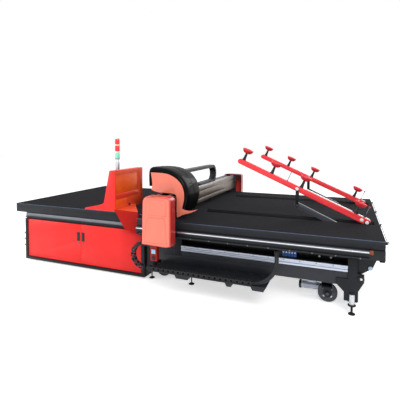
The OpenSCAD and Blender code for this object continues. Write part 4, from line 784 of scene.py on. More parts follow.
def endCoverShell(side):
    x0, x1, z1 = coverLow.x, coverHigh.x, coverHigh.z
    z0 = coverLow.z + 0.012
    outline = [(x0, z0), (x1 - 0.06, z0 - 0.012), (x1, z0 + 0.006)]
    outline += arcPoints(x1 - endCover["right"], z1 - endCover["right"], endCover["right"], 0, 90)
    outline += arcPoints(x0 + endCover["left"] + 0.014, z1 - endCover["left"], endCover["left"], 90, 175)
    front, back = coverLow.y, coverLow.y + 0.148
    # the solid is rounded all along its front, then opened at its back and below
    clearSelection()
    bpy.ops.mesh.primitive_circle_add(vertices=len(outline), radius=1, fill_type="NGON")
    obj = bpy.context.object
    for vertex, (x, z) in zip(obj.data.vertices, outline):
        vertex.co = (x, front, z)
    edit(obj)
    bpy.ops.mesh.extrude_region_move(TRANSFORM_OT_translate={"value": (0, back - front, 0)})
    bpy.ops.mesh.select_all(action="SELECT")
    bpy.ops.mesh.normals_make_consistent(inside=False)
    leaveEdit()
    edit(obj, lambda c: abs(c.y - front) < 0.0001)
    bpy.ops.mesh.bevel(offset=endCover["round"], segments=5)
    leaveEdit()
    deleteFaces(obj, lambda f: f.normal.y > 0.95 or f.normal.z < -0.95
                and f.center.y > front + endCover["round"] * 0.9)
    solid = obj.modifiers.new("wall", "SOLIDIFY")
    solid.thickness = endCover["wall"]
    solid.offset = -1
    activate(obj)
    bpy.ops.object.modifier_apply(modifier=solid.name)
    bpy.ops.object.shade_smooth_by_angle(angle=math.radians(40))
    # coral on the front face; its rounded edges and its sides painted in redder and darker copies as shade
    paint(obj, ["coralMoulding", "edgeShadeMoulding", "rimShadeMoulding"],
          lambda c: 0 if c.y < front + 0.001 else 1 if c.y < front + endCover["round"] * 0.9 else 2)
    # raised field on the lower part of the face
    ridges = []
    # the outer outline of each field is the groove line, painted darker as shade
    for inset, proud, finish in ((0, 0.002, "grooveMoulding"), (0.009, endCover["raise"], "coralMoulding")):
        a, b, low = x0 + 0.042 + inset, x1 - 0.042 - inset, z0 + 0.03 + inset
        field = [(a, low), (b, low), (b - 0.016, z0 + 0.24), (b - 0.03, z0 + 0.338 - inset),
                 (b - 0.044, z0 + 0.352 - inset),
                 (a + 0.058, z0 + 0.352 - inset), (a + 0.044, z0 + 0.338 - inset), (a + 0.022, z0 + 0.24)]
        ridges.append(paint(addOutline(field, front - proud, front + 0.002, 0.0008, 1), finish))
    # groove round the upper part of the face
    upper = [(x0 + 0.05, z0 + 0.375), (x1 - 0.05, z0 + 0.375), (x1 - 0.05, z1 - 0.06),
             (x1 - 0.085, z1 - 0.032), (x0 + 0.11, z1 - 0.032),
             (x0 + 0.075, z1 - 0.06)]
    # the outer outline is the groove line, painted darker as shade
    for inset, proud, finish in ((0, 0.0015, "grooveMoulding"), (0.007, 0.0025, "coralMoulding")):
        inner = [(x + math.copysign(inset, (x0 + x1) / 2 - x), z + math.copysign(inset, z0 + 0.47 - z))
                 for x, z in upper]
        ridges.append(paint(addOutline(inner, front - proud, front + 0.002, 0.0006, 1), finish))
    posts = [addRod((x, front + 0.003, z), 0.01, 0.1485, "Y")
             for x, z in ((x0 + 0.1, tableZ - 0.08), (x1 - 0.06, tableZ - 0.08),
                          (beamLow.x + 0.025, beamLow.z + 0.08),
                          (beamHigh.x - 0.005, beamLow.z + 0.08))]
    obj = joined([obj] + ridges + [paint(post, "milledSteel") for post in posts])
    if side > 0:
        obj.data.transform(Matrix.Scale(-1, 4, (0, 1, 0)))
        obj.data.flip_normals()
    return obj


covers = joined([endCoverShell(-1), endCoverShell(1)])
place(covers, "end_covers_finished", "gantry", "cover_red", ["end_covers"])
caps = [addBox((beamHigh.x + 0.002, side * 1.499 - 0.011, beamHigh.z - 0.03),
               (coverHigh.x - 0.002, side * 1.499 + 0.011, coverHigh.z - 0.006), 0.004, 3)
        for side in (-1, 1)]
place(paint(joined(caps), "blackNylon"), "beam_end_caps", "gantry")

# ---- head cover, lofted from ring to ring, and its coloured plate ----

helmetLow, helmetHigh = box("head_cover")
plateBox = box("cover_plate")
gx, gz = beamLow.x, tableZ
helmet = {"wall": 0.006, "seam": 0.0025}
helmetRings = [(0, 0.012), (0.006, 0.026), (0.022, 0.038), (0.05, 0.044), (0.12, 0.043), (0.24, 0.038),
               (0.36, 0.034), (0.42, 0.03),
               (0.455, 0.022), (0.468, 0.012)]


def helmetOutline(grow):
    # The part's leaning outline, smoothed, from the lower left corner over the top to the lower right.
    corners = [
        (-0.14 - grow, 0.415), (-0.14 - grow, 0.6), (-0.1 - grow * 0.7, 0.628 + grow), (0.07, 0.622 + grow),
        (0.176 + grow * 0.4, 0.59 + grow * 0.8), (0.263 + grow * 0.7, 0.53 + grow * 0.6),
        (0.322 + grow * 0.9, 0.45 + grow * 0.3),
        (0.352 + grow, 0.352), (0.352 + grow, 0.26), (0.33 + grow, 0.16), (0.3 + grow, 0.09), (0.262, 0.06)]
    return [(gx + p.x, gz + p.z) for p in smoothPath([(x, 0, z) for x, z in corners], 5)]


rings = [[Vector((x, helmetLow.y + depth, z)) for x, z in helmetOutline(grow)] for depth, grow in helmetRings]
shell = addLoft(rings, closed=False, caps=False)
solid = shell.modifiers.new("wall", "SOLIDIFY")
solid.thickness = helmet["wall"]
solid.offset = -1
activate(shell)
bpy.ops.object.modifier_apply(modifier=solid.name)
bpy.ops.object.shade_smooth_by_angle(angle=math.radians(50))
facePoints = helmetOutline(0.016)
frontWall = addOutline(facePoints + [(gx + 0.25, gz + 0.06), (gx + 0.246, gz + 0.415)], helmetLow.y + 0.0005,
                       helmetLow.y + 0.006, 0.001, 1)
seamRings = [[Vector((x, helmetLow.y + depth, z)) for x, z in helmetOutline(grow + proud)]
             for depth, grow, proud in ((0.236, 0.038, 0), (0.238, 0.038, 0.0025), (0.248, 0.038, 0.0025),
                                        (0.25, 0.038, 0))]
seam = addLoft(seamRings, closed=False, caps=False)
fittings = [addRod((helmetHigh.x - 0.062 - 0.02 * k, helmetHigh.y - 0.02, gz + 0.16 + 0.07 * k), 0.011, 0.022,
                   "Y", 0.002, 20) for k in range(2)]
helmetPiece = joined([paint(shell, "blackGlossMoulding"), paint(frontWall, "blackGlossMoulding"),
                      paint(seam, "blackGlossMoulding")])
place(helmetPiece, "head_cover_finished", "carriage", "cover_black", ["head_cover"])
place(paint(joined(fittings), "groundSteel"), "head_cover_fittings", "carriage")

# The plate's corners are smooth sweeps except at its lower inner step.
upper = [(-0.136, 0.6), (-0.06, 0.6), (0.073, 0.594), (0.176, 0.565), (0.263, 0.51), (0.32, 0.441),
         (0.349, 0.351), (0.349, 0.26),
         (0.327, 0.167), (0.322, 0.145), (0.363, 0.128), (0.447, 0.124), (0.545, 0.15)]
lower = [(0.545, 0.15), (0.461, 0.105), (0.334, 0.063), (0.262, 0.024), (0.247, 0.045), (0.246, 0.18),
         (0.244, 0.29), (0.226, 0.322),
         (0.18, 0.333), (0.07, 0.337), (-0.04, 0.341), (-0.127, 0.366)]
left = [(-0.127, 0.366), (-0.117, 0.42), (-0.116, 0.47), (-0.123, 0.527), (-0.136, 0.6)]
outline = []
for run in (upper, lower, left):
    outline += [(gx + p.x, gz + p.z) for p in smoothPath([(x, 0, z) for x, z in run], 4)[:-1]]
plate = addOutline(outline, plateBox[0].y, plateBox[1].y - 0.0005, 0.0035, 3, 35)
place(paint(plate, "coralMoulding"), "cover_plate_finished", "carriage", "cover_red", ["cover_plate"])
print("covers")

# ---- loading arms ----

armPivot = Vector(joints["arms_tilt"]["pos_m"])
linkPivot = Vector(joints["link_swing"]["pos_m"])
tilt = math.atan2(linkPivot.z - armPivot.z, armPivot.x - linkPivot.x)
linkReach = math.hypot(linkPivot.z - armPivot.z, armPivot.x - linkPivot.x)
along = Vector((-math.cos(tilt), 0, math.sin(tilt)))
upward = Vector((math.sin(tilt), 0, math.cos(tilt)))
armYs = (-0.58, 0.89)
arm = {"halfWidth": 0.03, "halfHeight": 0.035, "cupRise": 0.16}


def onArm(y, drop=0):
    # Places a piece in an arm's own frame: X to the tip, Z out of the felt.
    matrix = Matrix((
        (along.x, 0, upward.x, armPivot.x), (0, -1, 0, y), (along.z, 0, upward.z, armPivot.z - drop),
        (0, 0, 0, 1)))
    return matrix


def armHeight(c):
    return (c - Vector((armPivot.x, c.y, armPivot.z))).dot(upward)


def offArm(c):
    return min(abs(c.y - y) for y in armYs)


# the strip on top of each arm tube is painted white: a painted highlight along its upper edge
softened("arm_tubes", 0.0025, ["redGlossLacquer", "whiteEnamel", "milledSteel"],
         lambda c: 2 if offArm(c) > arm["halfWidth"] + 0.0005 else 1
         if armHeight(c) > arm["halfHeight"] + 0.0002 else 0)
armBolts = bolt(0.018, 0.009)
boltRows = {0.0: 0.0113, 0.066: 0.0, linkReach: 0.0145}
places = []
for y in armYs:
    for side in (-1, 1):
        for s, proud in boltRows.items():
            lift = side * (arm["halfWidth"] + proud)
            places.append(onArm(y) @ Matrix.Translation((s, lift, 0)) @ Matrix.Rotation(-side * math.pi / 2,
                                                                                        4, "X"))
place(paint(copies(armBolts, places), "whiteEnamel"), "arm_bolts", "arms")
# white strip along the top of the lower half of each arm, a painted highlight, open round the feet of a
# feeler and a cup
armHighlightStrip = joined([addBox((s, -0.016, arm["halfHeight"]), (end, 0.016, arm["halfHeight"] + 0.013), 0.004, 3)
                   for s, end in ((-0.018, 0.036), (0.064, 0.126), (0.205, 0.825))])
place(paint(copies(armHighlightStrip, [onArm(y) for y in armYs]), "whiteEnamel"), "arm_highlight_strips", "arms")

base, face = arm["halfHeight"], arm["halfHeight"] + arm["cupRise"]
neck = face - 0.058
stemProfile = [(0, base), (0.0255, base), (0.027, base + 0.002), (0.027, base + 0.01), (0.0255, base + 0.012),
               (0.0225, base + 0.012),
               (0.021, base + 0.022), (0.0225, base + 0.027), (0.0195, base + 0.034), (0.0205, base + 0.04),
               (0.017, base + 0.048),
               (0.018, base + 0.054), (0.015, neck - 0.001), (0, neck - 0.001)]
cupProfile = [(0, neck), (0.03, neck), (0.042, neck + 0.003), (0.052, neck + 0.009), (0.061, neck + 0.018),
              (0.068, neck + 0.029),
              (0.0725, neck + 0.04), (0.0745, neck + 0.048), (0.075, neck + 0.054), (0.073, face - 0.0005),
              (0.068, face), (0.062, face - 0.006),
              (0.05, face - 0.012), (0.024, face - 0.016), (0, face - 0.016)]
stem = paint(addLathe(stemProfile, steps=32, smooth=50), "blackNylon")
cup = paint(addLathe(cupProfile, steps=48, smooth=40), "redSilicone")
washer = paint(addLathe([(0.004, face - 0.0155), (0.016, face - 0.0155), (0.015, face - 0.012),
                         (0.004, face - 0.012)], steps=24), "groundSteel")
cupPiece = joined([stem, cup, washer])
cupPlaces = [onArm(y) @ Matrix.Translation((s, 0, 0)) for y in armYs for s in (1.75, 1.32, 0.89, 0.16)]
cups = copies(cupPiece, cupPlaces)
rod = paint(addRod((0, 0, base), 0.004, face - base - 0.02, "Z", 0.0005, 16), "milledSteel")
clearSelection()
bpy.ops.mesh.primitive_uv_sphere_add(segments=28, ring_count=16, radius=0.012, location=(0, 0, face - 0.012))
ball = bpy.context.object
bpy.ops.object.transform_apply(location=True, rotation=True, scale=True)
bpy.ops.object.shade_smooth()
nut = paint(addRod((0, 0, base), 0.009, 0.008, "Z", 0.001, 6), "milledSteel")
feelerPiece = joined([rod, paint(ball, "redSilicone"), nut])
feelers = copies(feelerPiece,
                 [onArm(y) @ Matrix.Translation((s, 0, 0))
                  for y, s in ((armYs[0], 1.09), (armYs[0], 0.05), (armYs[1], 0.05))])
place(joined([cups, feelers]), "suction_cups_finished", "arms", "cup_red", ["suction_cups"])

leverPivot = armPivot - Vector((0, 0, 0.22))


softened("arm_levers", 0.002, "greyLacquer")


def cradleFace(c):
    motor = 0.255 < c.y < 0.355 and c.x < armPivot.x + 0.055 and c.z > leverPivot.z - 0.029
    rodOrPin = math.hypot(c.x - armPivot.x, c.y - 0.15) < 0.0105 or math.hypot(c.x - armPivot.x,
                                                                               c.z - armPivot.z) < 0.0125
    return 1 if motor else 2 if rodOrPin else 0


softened("arm_cradle", 0.0025, ["charcoalPowderCoat", "silverPaint", "groundSteel"], cradleFace)
softened("lift_guides", 0.0015, ["charcoalPowderCoat", "groundSteel"],
         lambda c: 1 if min(math.hypot(c.x - (armPivot.x + 0.048), c.y - y) for y in (-0.15, 0.6)) < 0.0165
         else 0)
print("arms")

# ---- energy chains: links with open side plates, in three runs each ----


def chainLink(length, height, width, thickness, hole, bars=0.2):
    # Two side plates with a round window, a pin boss at one end and two cross bars.
    plates = []
    for side in (-1, 1):
        clearSelection()
        bpy.ops.mesh.primitive_circle_add(vertices=24, radius=1, fill_type="NOTHING")
        outer = bpy.context.object
        for k, vertex in enumerate(outer.data.vertices):
            a = 2 * math.pi * (k + 0.5) / 24
            c, s = math.cos(a), math.sin(a)
            reach = 1 / (abs(c) ** 6 + abs(s) ** 6) ** (1 / 6)
            vertex.co = (c * reach * (length * 0.485), 0, s * reach * height / 2)
        clearSelection()
        bpy.ops.mesh.primitive_circle_add(vertices=24, radius=1, fill_type="NOTHING")
        inner = bpy.context.object
        for k, vertex in enumerate(inner.data.vertices):
            a = 2 * math.pi * (k + 0.5) / 24
            vertex.co = (math.cos(a) * hole, 0, math.sin(a) * hole)
        ring = joined([outer, inner])
        edit(ring)
        bpy.ops.mesh.bridge_edge_loops()
        bpy.ops.mesh.select_all(action="SELECT")
        bpy.ops.mesh.extrude_region_move(TRANSFORM_OT_translate={"value": (0, thickness, 0)})
        bpy.ops.mesh.select_all(action="SELECT")
        bpy.ops.mesh.normals_make_consistent(inside=False)
        leaveEdit()
        ring.data.transform(Matrix.Translation((0, side * (width / 2 - thickness / 2) - thickness / 2, 0)))
        applyBevel(ring, thickness * 0.22, 1, 50)
        boss = addRod((length * 0.42, side * (width / 2 - thickness) if side < 0 else width / 2 - thickness,
                       0), height * 0.17, thickness, "Y",
                      thickness * 0.2, 16)
        if side < 0:
            boss.data.transform(Matrix.Translation((0, -thickness, 0)))
            boss.data.transform(Matrix.Translation((0, thickness * 0.7, 0)))
        else:
            boss.data.transform(Matrix.Translation((0, thickness * 0.3, 0)))
        plates += [ring, boss]
    bar = height * 0.09
    for z in (-1, 1):
        mid = z * (height / 2 - bar)
        plates.append(addBox((-length * bars, -width / 2 + thickness, mid - bar),
                             (length * bars, width / 2 - thickness, mid + bar), bar * 0.4))
    return joined(plates)


def chainPiece(name, link, places, finish, replaced):
    obj = paint(copies(link, places), finish)
    obj.name = name
    if replaced:
        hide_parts(*replaced)
    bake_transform(obj)
    return obj


longLow, longHigh = box("long_chain")
longHeight = 0.05
longRadius = (longHigh.z - longLow.z - longHeight) / 2
longLoop = Vector((longLow.x + longRadius + longHeight / 2, (longLow.y + longHigh.y) / 2,
                   (longLow.z + longHigh.z) / 2))
longFixed = longHigh.x
longMoving = box("end_covers")[0].x + 0.055
pitch = 0.0682
linkShape = {"length": pitch, "height": longHeight, "width": 0.056, "thickness": 0.006, "hole": 0.0135}


def copyOf(obj):
    other = obj.copy()
    other.data = obj.data.copy()
    bpy.context.scene.collection.objects.link(other)
    return other


link = chainLink(**linkShape)
count = int((longFixed - longLoop.x) / pitch)
lowerPlaces = [Matrix.Translation((longFixed - pitch * (k + 0.5), longLoop.y, longLoop.z - longRadius))
               for k in range(count)]
start = Vector((longFixed, longLoop.y, longLoop.z - longRadius))
end = start + 2 * (Vector((longLoop.x, start.y, start.z)) - start)
chainPiece("long_chain_lower", copyOf(link), lowerPlaces, "blackNylon", ["long_chain"])
arcCount = 7
loopPlaces = []
for k in range(arcCount):
    a = math.pi / 2 + math.pi * (k + 0.5) / arcCount
    centre = longLoop + Vector((math.cos(a) * longRadius, 0, math.sin(a) * longRadius))
    loopPlaces.append(Matrix.Translation(centre) @ Matrix.Rotation(math.pi / 2 - a, 4, "Y"))
chainPiece("long_chain_loop", copyOf(link), loopPlaces, "blackNylon", [])
upperPlaces = [Matrix.Translation((longLoop.x + pitch * (k + 0.5), longLoop.y, longLoop.z + longRadius))
               for k in range(2)]
end = Vector((longMoving, longLoop.y, longLoop.z + longRadius))
start = Vector((2 * longLoop.x - longMoving, end.y, end.z))
chainPiece("long_chain_upper", link, upperPlaces, "blackNylon", [])

shortLow, shortHigh = box("beam_chain")
shortPitch = 0.0465
shortHeight = 0.046
shortRadius = 0.127
shortMid = Vector(((shortLow.x + shortHigh.x) / 2, shortHigh.y - shortRadius - shortHeight / 2,
                   (beamHigh.z + 0.002 + shortHigh.z) / 2))
shortFixedY = -0.25
shortMovingY = shortLow.y
link = chainLink(length=shortPitch, height=shortHeight, width=0.108, thickness=0.006, hole=0.006, bars=0.47)
link.data.transform(Matrix.Rotation(math.pi / 2, 4, "Z"))
count = round((shortMid.y - shortFixedY) / shortPitch)
step = (shortMid.y - shortFixedY) / count
places = [Matrix.Translation((shortMid.x, shortFixedY + step * (k + 0.5), shortMid.z - shortRadius))
          for k in range(count)]
start = Vector((shortMid.x, shortFixedY, shortMid.z - shortRadius))
end = start + 2 * (Vector((start.x, shortMid.y, start.z)) - start)
# the straight runs are painted paler than the black loop: painted light from above
chainPiece("beam_chain_lower", copyOf(link), places, "graphiteNylon", ["beam_chain"])
places = []
arcCount = 9
for k in range(arcCount):
    a = -math.pi / 2 + math.pi * (k + 0.5) / arcCount
    centre = shortMid + Vector((0, math.cos(a) * shortRadius, math.sin(a) * shortRadius))
    places.append(Matrix.Translation(centre) @ Matrix.Rotation(a - math.pi / 2, 4, "X"))
chainPiece("beam_chain_loop", copyOf(link), places, "blackNylon", [])
count = round((shortMid.y - shortMovingY) / shortPitch)
step = (shortMid.y - shortMovingY) / count
places = [Matrix.Translation((shortMid.x, shortMovingY + step * (k + 0.5), shortMid.z + shortRadius))
          for k in range(count)]
end = Vector((shortMid.x, shortMovingY, shortMid.z + shortRadius))
start = Vector((shortMid.x, 2 * shortMid.y - shortMovingY, end.z))
chainPiece("beam_chain_upper", link, places, "graphiteNylon", [])

# Corrugated hose from the tray's end up and back to the valves, held at both ends.
hosePoints = [
    (1.3178, -1.545, 0.3095), (1.338, -1.545, 0.3095), (1.368, -1.545, 0.315), (1.403, -1.545, 0.327),
    (1.443, -1.545, 0.345),
    (1.482, -1.545, 0.371), (1.517, -1.545, 0.402), (1.546, -1.545, 0.438), (1.568, -1.544, 0.478),
    (1.582, -1.54, 0.521),
    (1.588, -1.53, 0.565), (1.586, -1.508, 0.604), (1.579, -1.476, 0.633), (1.569, -1.436, 0.65),
    (1.561, -1.391, 0.655),
    (1.555, -1.345, 0.649), (1.551, -1.3, 0.636), (1.55, -1.262, 0.621), (1.55, -1.234, 0.6115),
    (1.55, -1.218, 0.61),
    (1.55, -1.2023, 0.61)]
hosePath = smoothPath(hosePoints, 14)
hose = addTube(hosePath, lambda i: (0.0248, 0.0248, 0.0218, 0.0218)[i % 4], 24)
place(paint(hose, "blackNylon"), "chain_hose_finished", "machine", "hose_black", ["chain_hose"])
print("chains")

# ---- under frame: feet, jacks, motors, wheels, valves ----



def footPiece(height):
    pad = addLathe([(0, 0), (0.037, 0), (0.04, 0.003), (0.04, 0.006), (0.034, 0.011), (0.015, 0.0145),
                    (0.013, 0.022), (0, 0.022)], steps=36)
    threads = [(0.0098 - 0.0012 * (k % 2), 0.016 + k * 0.00125)
               for k in range(int((height - 0.016) / 0.00125))]
    stem = addLathe([(0, 0.014), (0.0098, 0.014)] + threads + [(0.0098, height), (0, height)], steps=20,
                    smooth=20)
    nut = addRod((0, 0, height - 0.012), 0.017, 0.011, "Z", 0.0015, 6)
    top = addRod((0, 0, height + 0.012), 0.017, 0.012, "Z", 0.0015, 6)
    return joined([paint(pad, "blackRubber"), paint(stem, "groundSteel"), paint(nut, "milledSteel"),
                   paint(top, "milledSteel")])


legXs = [jointX, jointX + 0.437]
footSpots = [(legXs[0] + 0.05, side * (frameY - 0.06)) for side in (-1, 1)]
footSpots += [(legXs[1] + 0.1 + 0.118, side * (frameY - 0.06)) for side in (-1, 1)]
bayWidth = (jointX - 0.0003 - leftX - 0.06) / 4
footSpots += [(x, y) for x in (leftX + bayWidth + 0.04, jointX - 0.0403)
              for y in (-frameY + 0.64, frameY - 0.06)]
feet = copies(footPiece(0.118), [Matrix.Translation((x, y, 0)) for x, y in footSpots])
place(feet, "levelling_feet_finished", "machine", "foot_rubber", ["levelling_feet"])

jackLow, jackHigh = box("lift_jacks")
jackX = (jackLow.x + jackHigh.x) / 2
jackY = frameY + 0.012 + 0.034
body = [(0, 0.112), (0.0285, 0.112), (0.029, 0.115), (0.029, 0.135), (0.0272, 0.137), (0.0272, 0.142),
        (0.029, 0.144), (0.029, 0.208),
        (0.0272, 0.211), (0.0272, 0.214), (0.0285, 0.216), (0.0285, 0.22), (0.026, 0.224), (0, 0.224)]
collar = [(0, 0.096), (0.04, 0.096), (0.044, 0.099), (0.044, 0.109), (0.04, 0.112), (0, 0.112)]
pad = [(0, 0), (0.036, 0), (0.038, 0.002), (0.038, 0.008), (0.03, 0.014), (0.014, 0.018), (0.012, 0.022),
       (0.012, 0.096), (0, 0.096)]
jack = joined([paint(addLathe(body, steps=40), "clearAluminium"),
               paint(addLathe(collar, steps=40), "blackNylon"),
               paint(addLathe(pad, steps=36), "blackRubber")])
jacks = copies(jack, [Matrix.Translation((jackX, side * jackY, 0)) for side in (-1, 1)])
clamps = [addBox((jackX - 0.025, side * jackY - (0 if side > 0 else -0.017) - (0.034 if side > 0 else 0),
                  0.13),
                 (jackX + 0.025, side * jackY + (0.034 if side < 0 else -0.017), 0.21), 0.003)
                 for side in (-1, 1)]
place(joined([jacks, paint(joined(clamps), "whiteEnamel")]), "lift_jacks_finished", "machine", "jack_white",
      ["lift_jacks"])

motorLow, motorHigh = box("travel_motor")
wheelLow, wheelHigh = box("drive_wheels")
motorAxisY = (motorLow.y + motorHigh.y) / 2
wheelZ = (wheelLow.z + wheelHigh.z) / 2
driveX = (wheelLow.x + wheelHigh.x) / 2
gearBox = addBox((driveX - 0.07, motorAxisY - 0.045, wheelZ - 0.055),
                 (driveX + 0.06, motorAxisY + 0.045, motorHigh.z), 0.008, 3)
motorZ = wheelZ + 0.014
fins = [(0, 0), (0.042, 0), (0.042, 0.012)]
for k in range(21):
    z = 0.014 + k * 0.0102
    fins += [(0.042, z), (0.048, z + 0.001), (0.048, z + 0.0045), (0.042, z + 0.0055)]
fins += [(0.042, 0.241), (0.046, 0.245), (0, 0.245)]
motorBody = addLathe(fins, (driveX - 0.315, motorAxisY, motorZ), "X", 36)
motorCap = addLathe([(0, 0), (0.042, 0), (0.049, 0.004), (0.052, 0.01), (0.052, 0.03), (0, 0.03)],
                    (driveX - 0.345, motorAxisY, motorZ), "X", 36)
terminal = addBox((driveX - 0.23, motorAxisY - 0.03, motorZ + 0.044),
                  (driveX - 0.13, motorAxisY + 0.03, motorZ + 0.08), 0.004)
place(joined([paint(gearBox, "silverPaint"), paint(motorBody, "silverPaint"), paint(motorCap, "blackNylon"),
              paint(terminal, "silverPaint")]),
      "travel_motor_finished", "machine", "motor_silver", ["travel_motor"])
for node, body in (("drive_wheels", "drive_axle"), ("idle_wheels", "idle_axle")):
    low, high = box(node)
    x = (low.x + high.x) / 2
    tyres = []
    for side in (-1, 1):
        y = side * (frameY - 0.2)
        tyre = addLathe([(0.1085, -0.022), (0.1105, -0.024), (0.1125, -0.018), (0.113, 0), (0.1125, 0.018),
                         (0.1105, 0.024), (0.1085, 0.022)],
                        (x, y, wheelZ), "Y", 64)
        tyres.append(tyre)
    place(paint(joined(tyres), "blackRubber"), node + "_tyres", body)
    spots = [(x + 0.058 * math.cos(a), side * (frameY - 0.2) + face, wheelZ + 0.058 * math.sin(a))
             for side in (-1, 1) for face in (-0.019,)
             for a in (math.pi / 4 + math.pi / 2 * k for k in range(4))]
    boltRow(node + "_bolts", body, spots, (0, -1, 0), 0.01, 0.007, "clearAluminium")

servoLow = box("gantry_motors")[0]


def servoFace(c):
    return 1 if c.z < pinionZ - 0.0755 - 0.13 else 0


pinionZ = Vector(joints["pinion_spin"]["pos_m"]).z
softened("gantry_motors", 0.004, ["redCastPaint", "blackNylon"], servoFace)
plugs = []
for side in (-1, 1):
    y = side * abs(servoLow.y)
    plate = addBox((servoLow.x + 0.026, min(y, y + side * 0.002), servoLow.z + 0.095),
                   (servoLow.x + 0.082, max(y, y + side * 0.002), servoLow.z + 0.15), 0.0008)
    plugs.append(paint(plate, "skyPlate"))
    button = addRod((servoLow.x + 0.055, y + (0.001 if side > 0 else -0.003), servoLow.z + 0.078), 0.007,
                    0.002, "Y", 0.0005, 24)
    plugs.append(paint(button, "blackNylon"))
    socket = addBox((servoLow.x + 0.03, min(y, y + side * 0.003), servoLow.z + 0.015),
                    (servoLow.x + 0.078, max(y, y + side * 0.003), servoLow.z + 0.06), 0.001)
    plugs.append(paint(socket, "blackNylon"))
place(joined(plugs), "servo_plugs", "gantry")

valveLow = box("valve_bank")[0]
valveTop = valveLow.z + 0.085
softened("valve_bank", 0.002, ["blackPowderCoat", "blueMoulding"],
         lambda c: 1 if c.x > 1.5895 and c.z > valveLow.z + 0.0145 else 0)
details = []
for i in range(5):
    x = 1.605 + i * 0.034
    y = -frameY + 0.03
    details.append(paint(addRod((x, y + 0.012, valveTop), 0.006, 0.01, "Z", 0.001, 16), "whiteEnamel"))
    details.append(paint(addRod((x, y + 0.045, valveTop), 0.006, 0.01, "Z", 0.001, 16), "whiteEnamel"))
    details.append(paint(addBox((x - 0.009, y - 0.0135, valveTop - 0.03),
                                (x + 0.009, y - 0.0115, valveTop - 0.014), 0.0008), "whiteEnamel"))
    sag = 0.05 + 0.012 * (i % 3)
    path = smoothPath([(x, y + 0.012, valveTop + 0.008), (x + 0.01, y + 0.005, valveTop + 0.03),
                       (x + 0.03, y - 0.01, valveTop + sag),
                       (x + 0.09, y - 0.004, valveTop + 0.03), (x + 0.14, y + 0.02, valveTop - 0.06)], 8)
    if i % 2 == 0:
        details.append(paint(addTube(path, 0.003, 8), "blackNylon"))
place(joined(details), "valve_fittings", "machine")
barX = box("edge_bar")[1].x - 0.01
barZ = tableZ - 0.045
softened("edge_bar", 0.0015, ["whiteEnamel", "blackNylon"],
         lambda c: 0 if math.hypot(c.x - barX, c.z - barZ) < 0.0102 and not any(
             abs(c.y - y) < 0.0145 for y in (-1.32, -0.45, 0.45, 1.32)) else 1)
print("under frame")

# ---- bolts and buffers ----

gussetHoleZ = 0.524
for side, name in ((-1, "front"), (1, "rear")):
    y = side * (frameY + 0.012)
    gussetX = rightX - 0.355
    boltRow(name + "_gusset_bolts", "machine",
            [(gussetX + dx, y, z) for dx in (0.025, 0.075) for z in (0.3, 0.4, 0.52, 0.6)],
            (0, side, 0), 0.006, 0.005, "blackNylon")
    boltRow(name + "_beam_bolts", "gantry",
            [(x, side * 1.508, z) for x in (beamLow.x + 0.03, beamHigh.x - 0.03)
                                            for z in (beamLow.z + 0.03, beamHigh.z - 0.03)], (0, side, 0),
                                            0.009, 0.0035)
    boltRow(name + "_duct_bolts", "machine",
            [(0.32 + 0.185 * k, side * (frameY + 0.022), 0.516) for k in range(11)], (0, side, 0), 0.005,
            0.004)
    boltRow(name + "_panel_caps", "machine", [(x, side * (frameY - 0.117), 0.56) for x in (2.01, 2.14)],
            (0, side, 0), 0.011, 0.01, "whiteEnamel")
    rackY = side * (cutY + 0.02 + 0.022)
    boltRow(name + "_rack_bolts", "machine", [(-0.2 + 0.24 * k, rackY, 0.712) for k in range(12)],
            (0, side, 0), 0.006, 0.004)
    buffer = addLathe([(0, 0), (0.021, 0), (0.022, 0.004), (0.018, 0.01), (0.023, 0.018), (0.026, 0.028),
                       (0.021, 0.036), (0, 0.038)],
                      (gantryRailHigh.x, side * (gantryRailHigh.y - 0.012), raceZ), "X", 28)
    place(paint(buffer, "amberRubber"), name + "_buffer", "machine")
    # black turning knob with a white centre on the leg's plate
    dial = addLathe([(0, 0), (0.032, 0), (0.034, 0.002), (0.034, 0.014), (0.031, 0.017), (0, 0.017)],
                    (0, 0, 0), "Y", 32)
    boss = addLathe([(0, 0.016), (0.013, 0.016), (0.013, 0.02), (0.011, 0.022), (0, 0.022)], (0, 0, 0), "Y",
                    24)
    knob = joined([paint(dial, "blackNylon"), paint(boss, "whiteEnamel")])
    if side < 0:
        knob.data.transform(Matrix.Rotation(math.pi, 4, "X"))
    knob.data.transform(Matrix.Translation((rightX - 0.216, y, 0.4)))
    place(knob, name + "_leg_knob", "machine")
    # pale cap over the hole of the corner plate
    cap = addLathe([(0, 0), (0.022, 0), (0.023, 0.002), (0.023, 0.007), (0.019, 0.01), (0, 0.01)], (0, 0, 0),
                   "Y", 28)
    if side < 0:
        cap.data.transform(Matrix.Rotation(math.pi, 4, "X"))
    cap.data.transform(Matrix.Translation((rightX - 0.124, side * (frameY - 0.01), gussetHoleZ)))
    place(paint(cap, "skyEnamel"), name + "_plate_cap", "machine")

# ---- camera, light and floor ----

clearSelection()
bpy.ops.object.camera_add(location=(2.3065, -5.55, 1.95), rotation=(math.radians(88), 0, math.radians(22.13)))
camera = bpy.context.object
camera.data.lens = 32.76
camera.data.sensor_width = 36
camera.data.shift_y = -0.121
bpy.context.scene.camera = camera

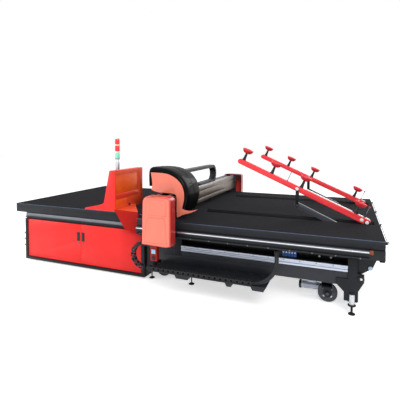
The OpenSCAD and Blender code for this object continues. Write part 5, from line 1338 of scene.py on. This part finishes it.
lamps = {
    "key": {"at": (4.5, -6.5, 6.0), "to": (0.2, -0.6, 0.8), "power": 385, "size": 4.5},
    "side": {"at": (-6.5, -4.5, 4.0), "to": (-0.5, -0.5, 0.8), "power": 230, "size": 4.0},
    "top": {"at": (0, 0.5, 6.5), "to": (0, 0, 0.8), "power": 200, "size": 6.0},
    "rear": {"at": (3.5, 6.5, 4.5), "to": (0.2, 0.6, 0.9), "power": 190, "size": 4.0},
}
for name, lamp in lamps.items():
    bpy.ops.object.light_add(type="AREA", location=lamp["at"])
    light = bpy.context.object
    light.name = name + "_light"
    light.data.energy = lamp["power"]
    light.data.size = lamp["size"]
    light.rotation_euler = (Vector(lamp["to"]) - Vector(lamp["at"])).to_track_quat("-Z", "Y").to_euler()



def seenDirectly(tree):
    # One for rays from the camera, a reflection or glass, zero for the light that falls on the object.
    path = addNode(tree, "LightPath").outputs
    shiny = addNode(tree, "Math", {"operation": "MAXIMUM"},
                    {0: path["Is Glossy Ray"], 1: path["Is Transmission Ray"]}).outputs[0]
    return addNode(tree, "Math", {"operation": "MAXIMUM"}, {0: path["Is Camera Ray"], 1: shiny}).outputs[0]


bpy.ops.mesh.primitive_plane_add(size=60, location=(0, 0, 0))
floor = bpy.context.object
floor.name = "studio_floor"
floorMaterial = bpy.data.materials.new("paleFloor")
floorMaterial.use_nodes = True
tree = floorMaterial.node_tree
shader = tree.nodes["Principled BSDF"]
shader.inputs["Roughness"].default_value = 0.9
shader.inputs["Emission Color"].default_value = linear("ffffff")
coords = addNode(tree, "TexCoord").outputs["Object"]
mottle = addNode(tree, "TexNoise", {"Scale": 1.5, "Detail": 4}, {"Vector": coords}).outputs["Fac"]
mix = addNode(tree, "Mix", {"data_type": "RGBA", 6: linear("f4f4f4"), 7: linear("f8f8f8")}, {0: mottle})
tree.links.new(mix.outputs[2], shader.inputs["Base Color"])
glow = addNode(tree, "Math", {"operation": "MULTIPLY", 1: 0.55}, {0: seenDirectly(tree)}).outputs[0]
tree.links.new(glow, shader.inputs["Emission Strength"])
floor.data.materials.append(floorMaterial)

world = bpy.data.worlds.new("studio")
bpy.context.scene.world = world
world.use_nodes = True
tree = world.node_tree
tree.nodes.clear()
softGlow = addNode(tree, "Background", {"Color": linear("e8ecf2"), "Strength": 0.6}).outputs[0]
white = addNode(tree, "Background", {"Color": linear("ffffff"), "Strength": 1.0}).outputs[0]
blend = addNode(tree, "MixShader", {}, {0: seenDirectly(tree), 1: softGlow, 2: white}).outputs[0]
addNode(tree, "OutputWorld", {}, {"Surface": blend})
bpy.context.scene.view_settings.view_transform = "Standard"

print("stage")
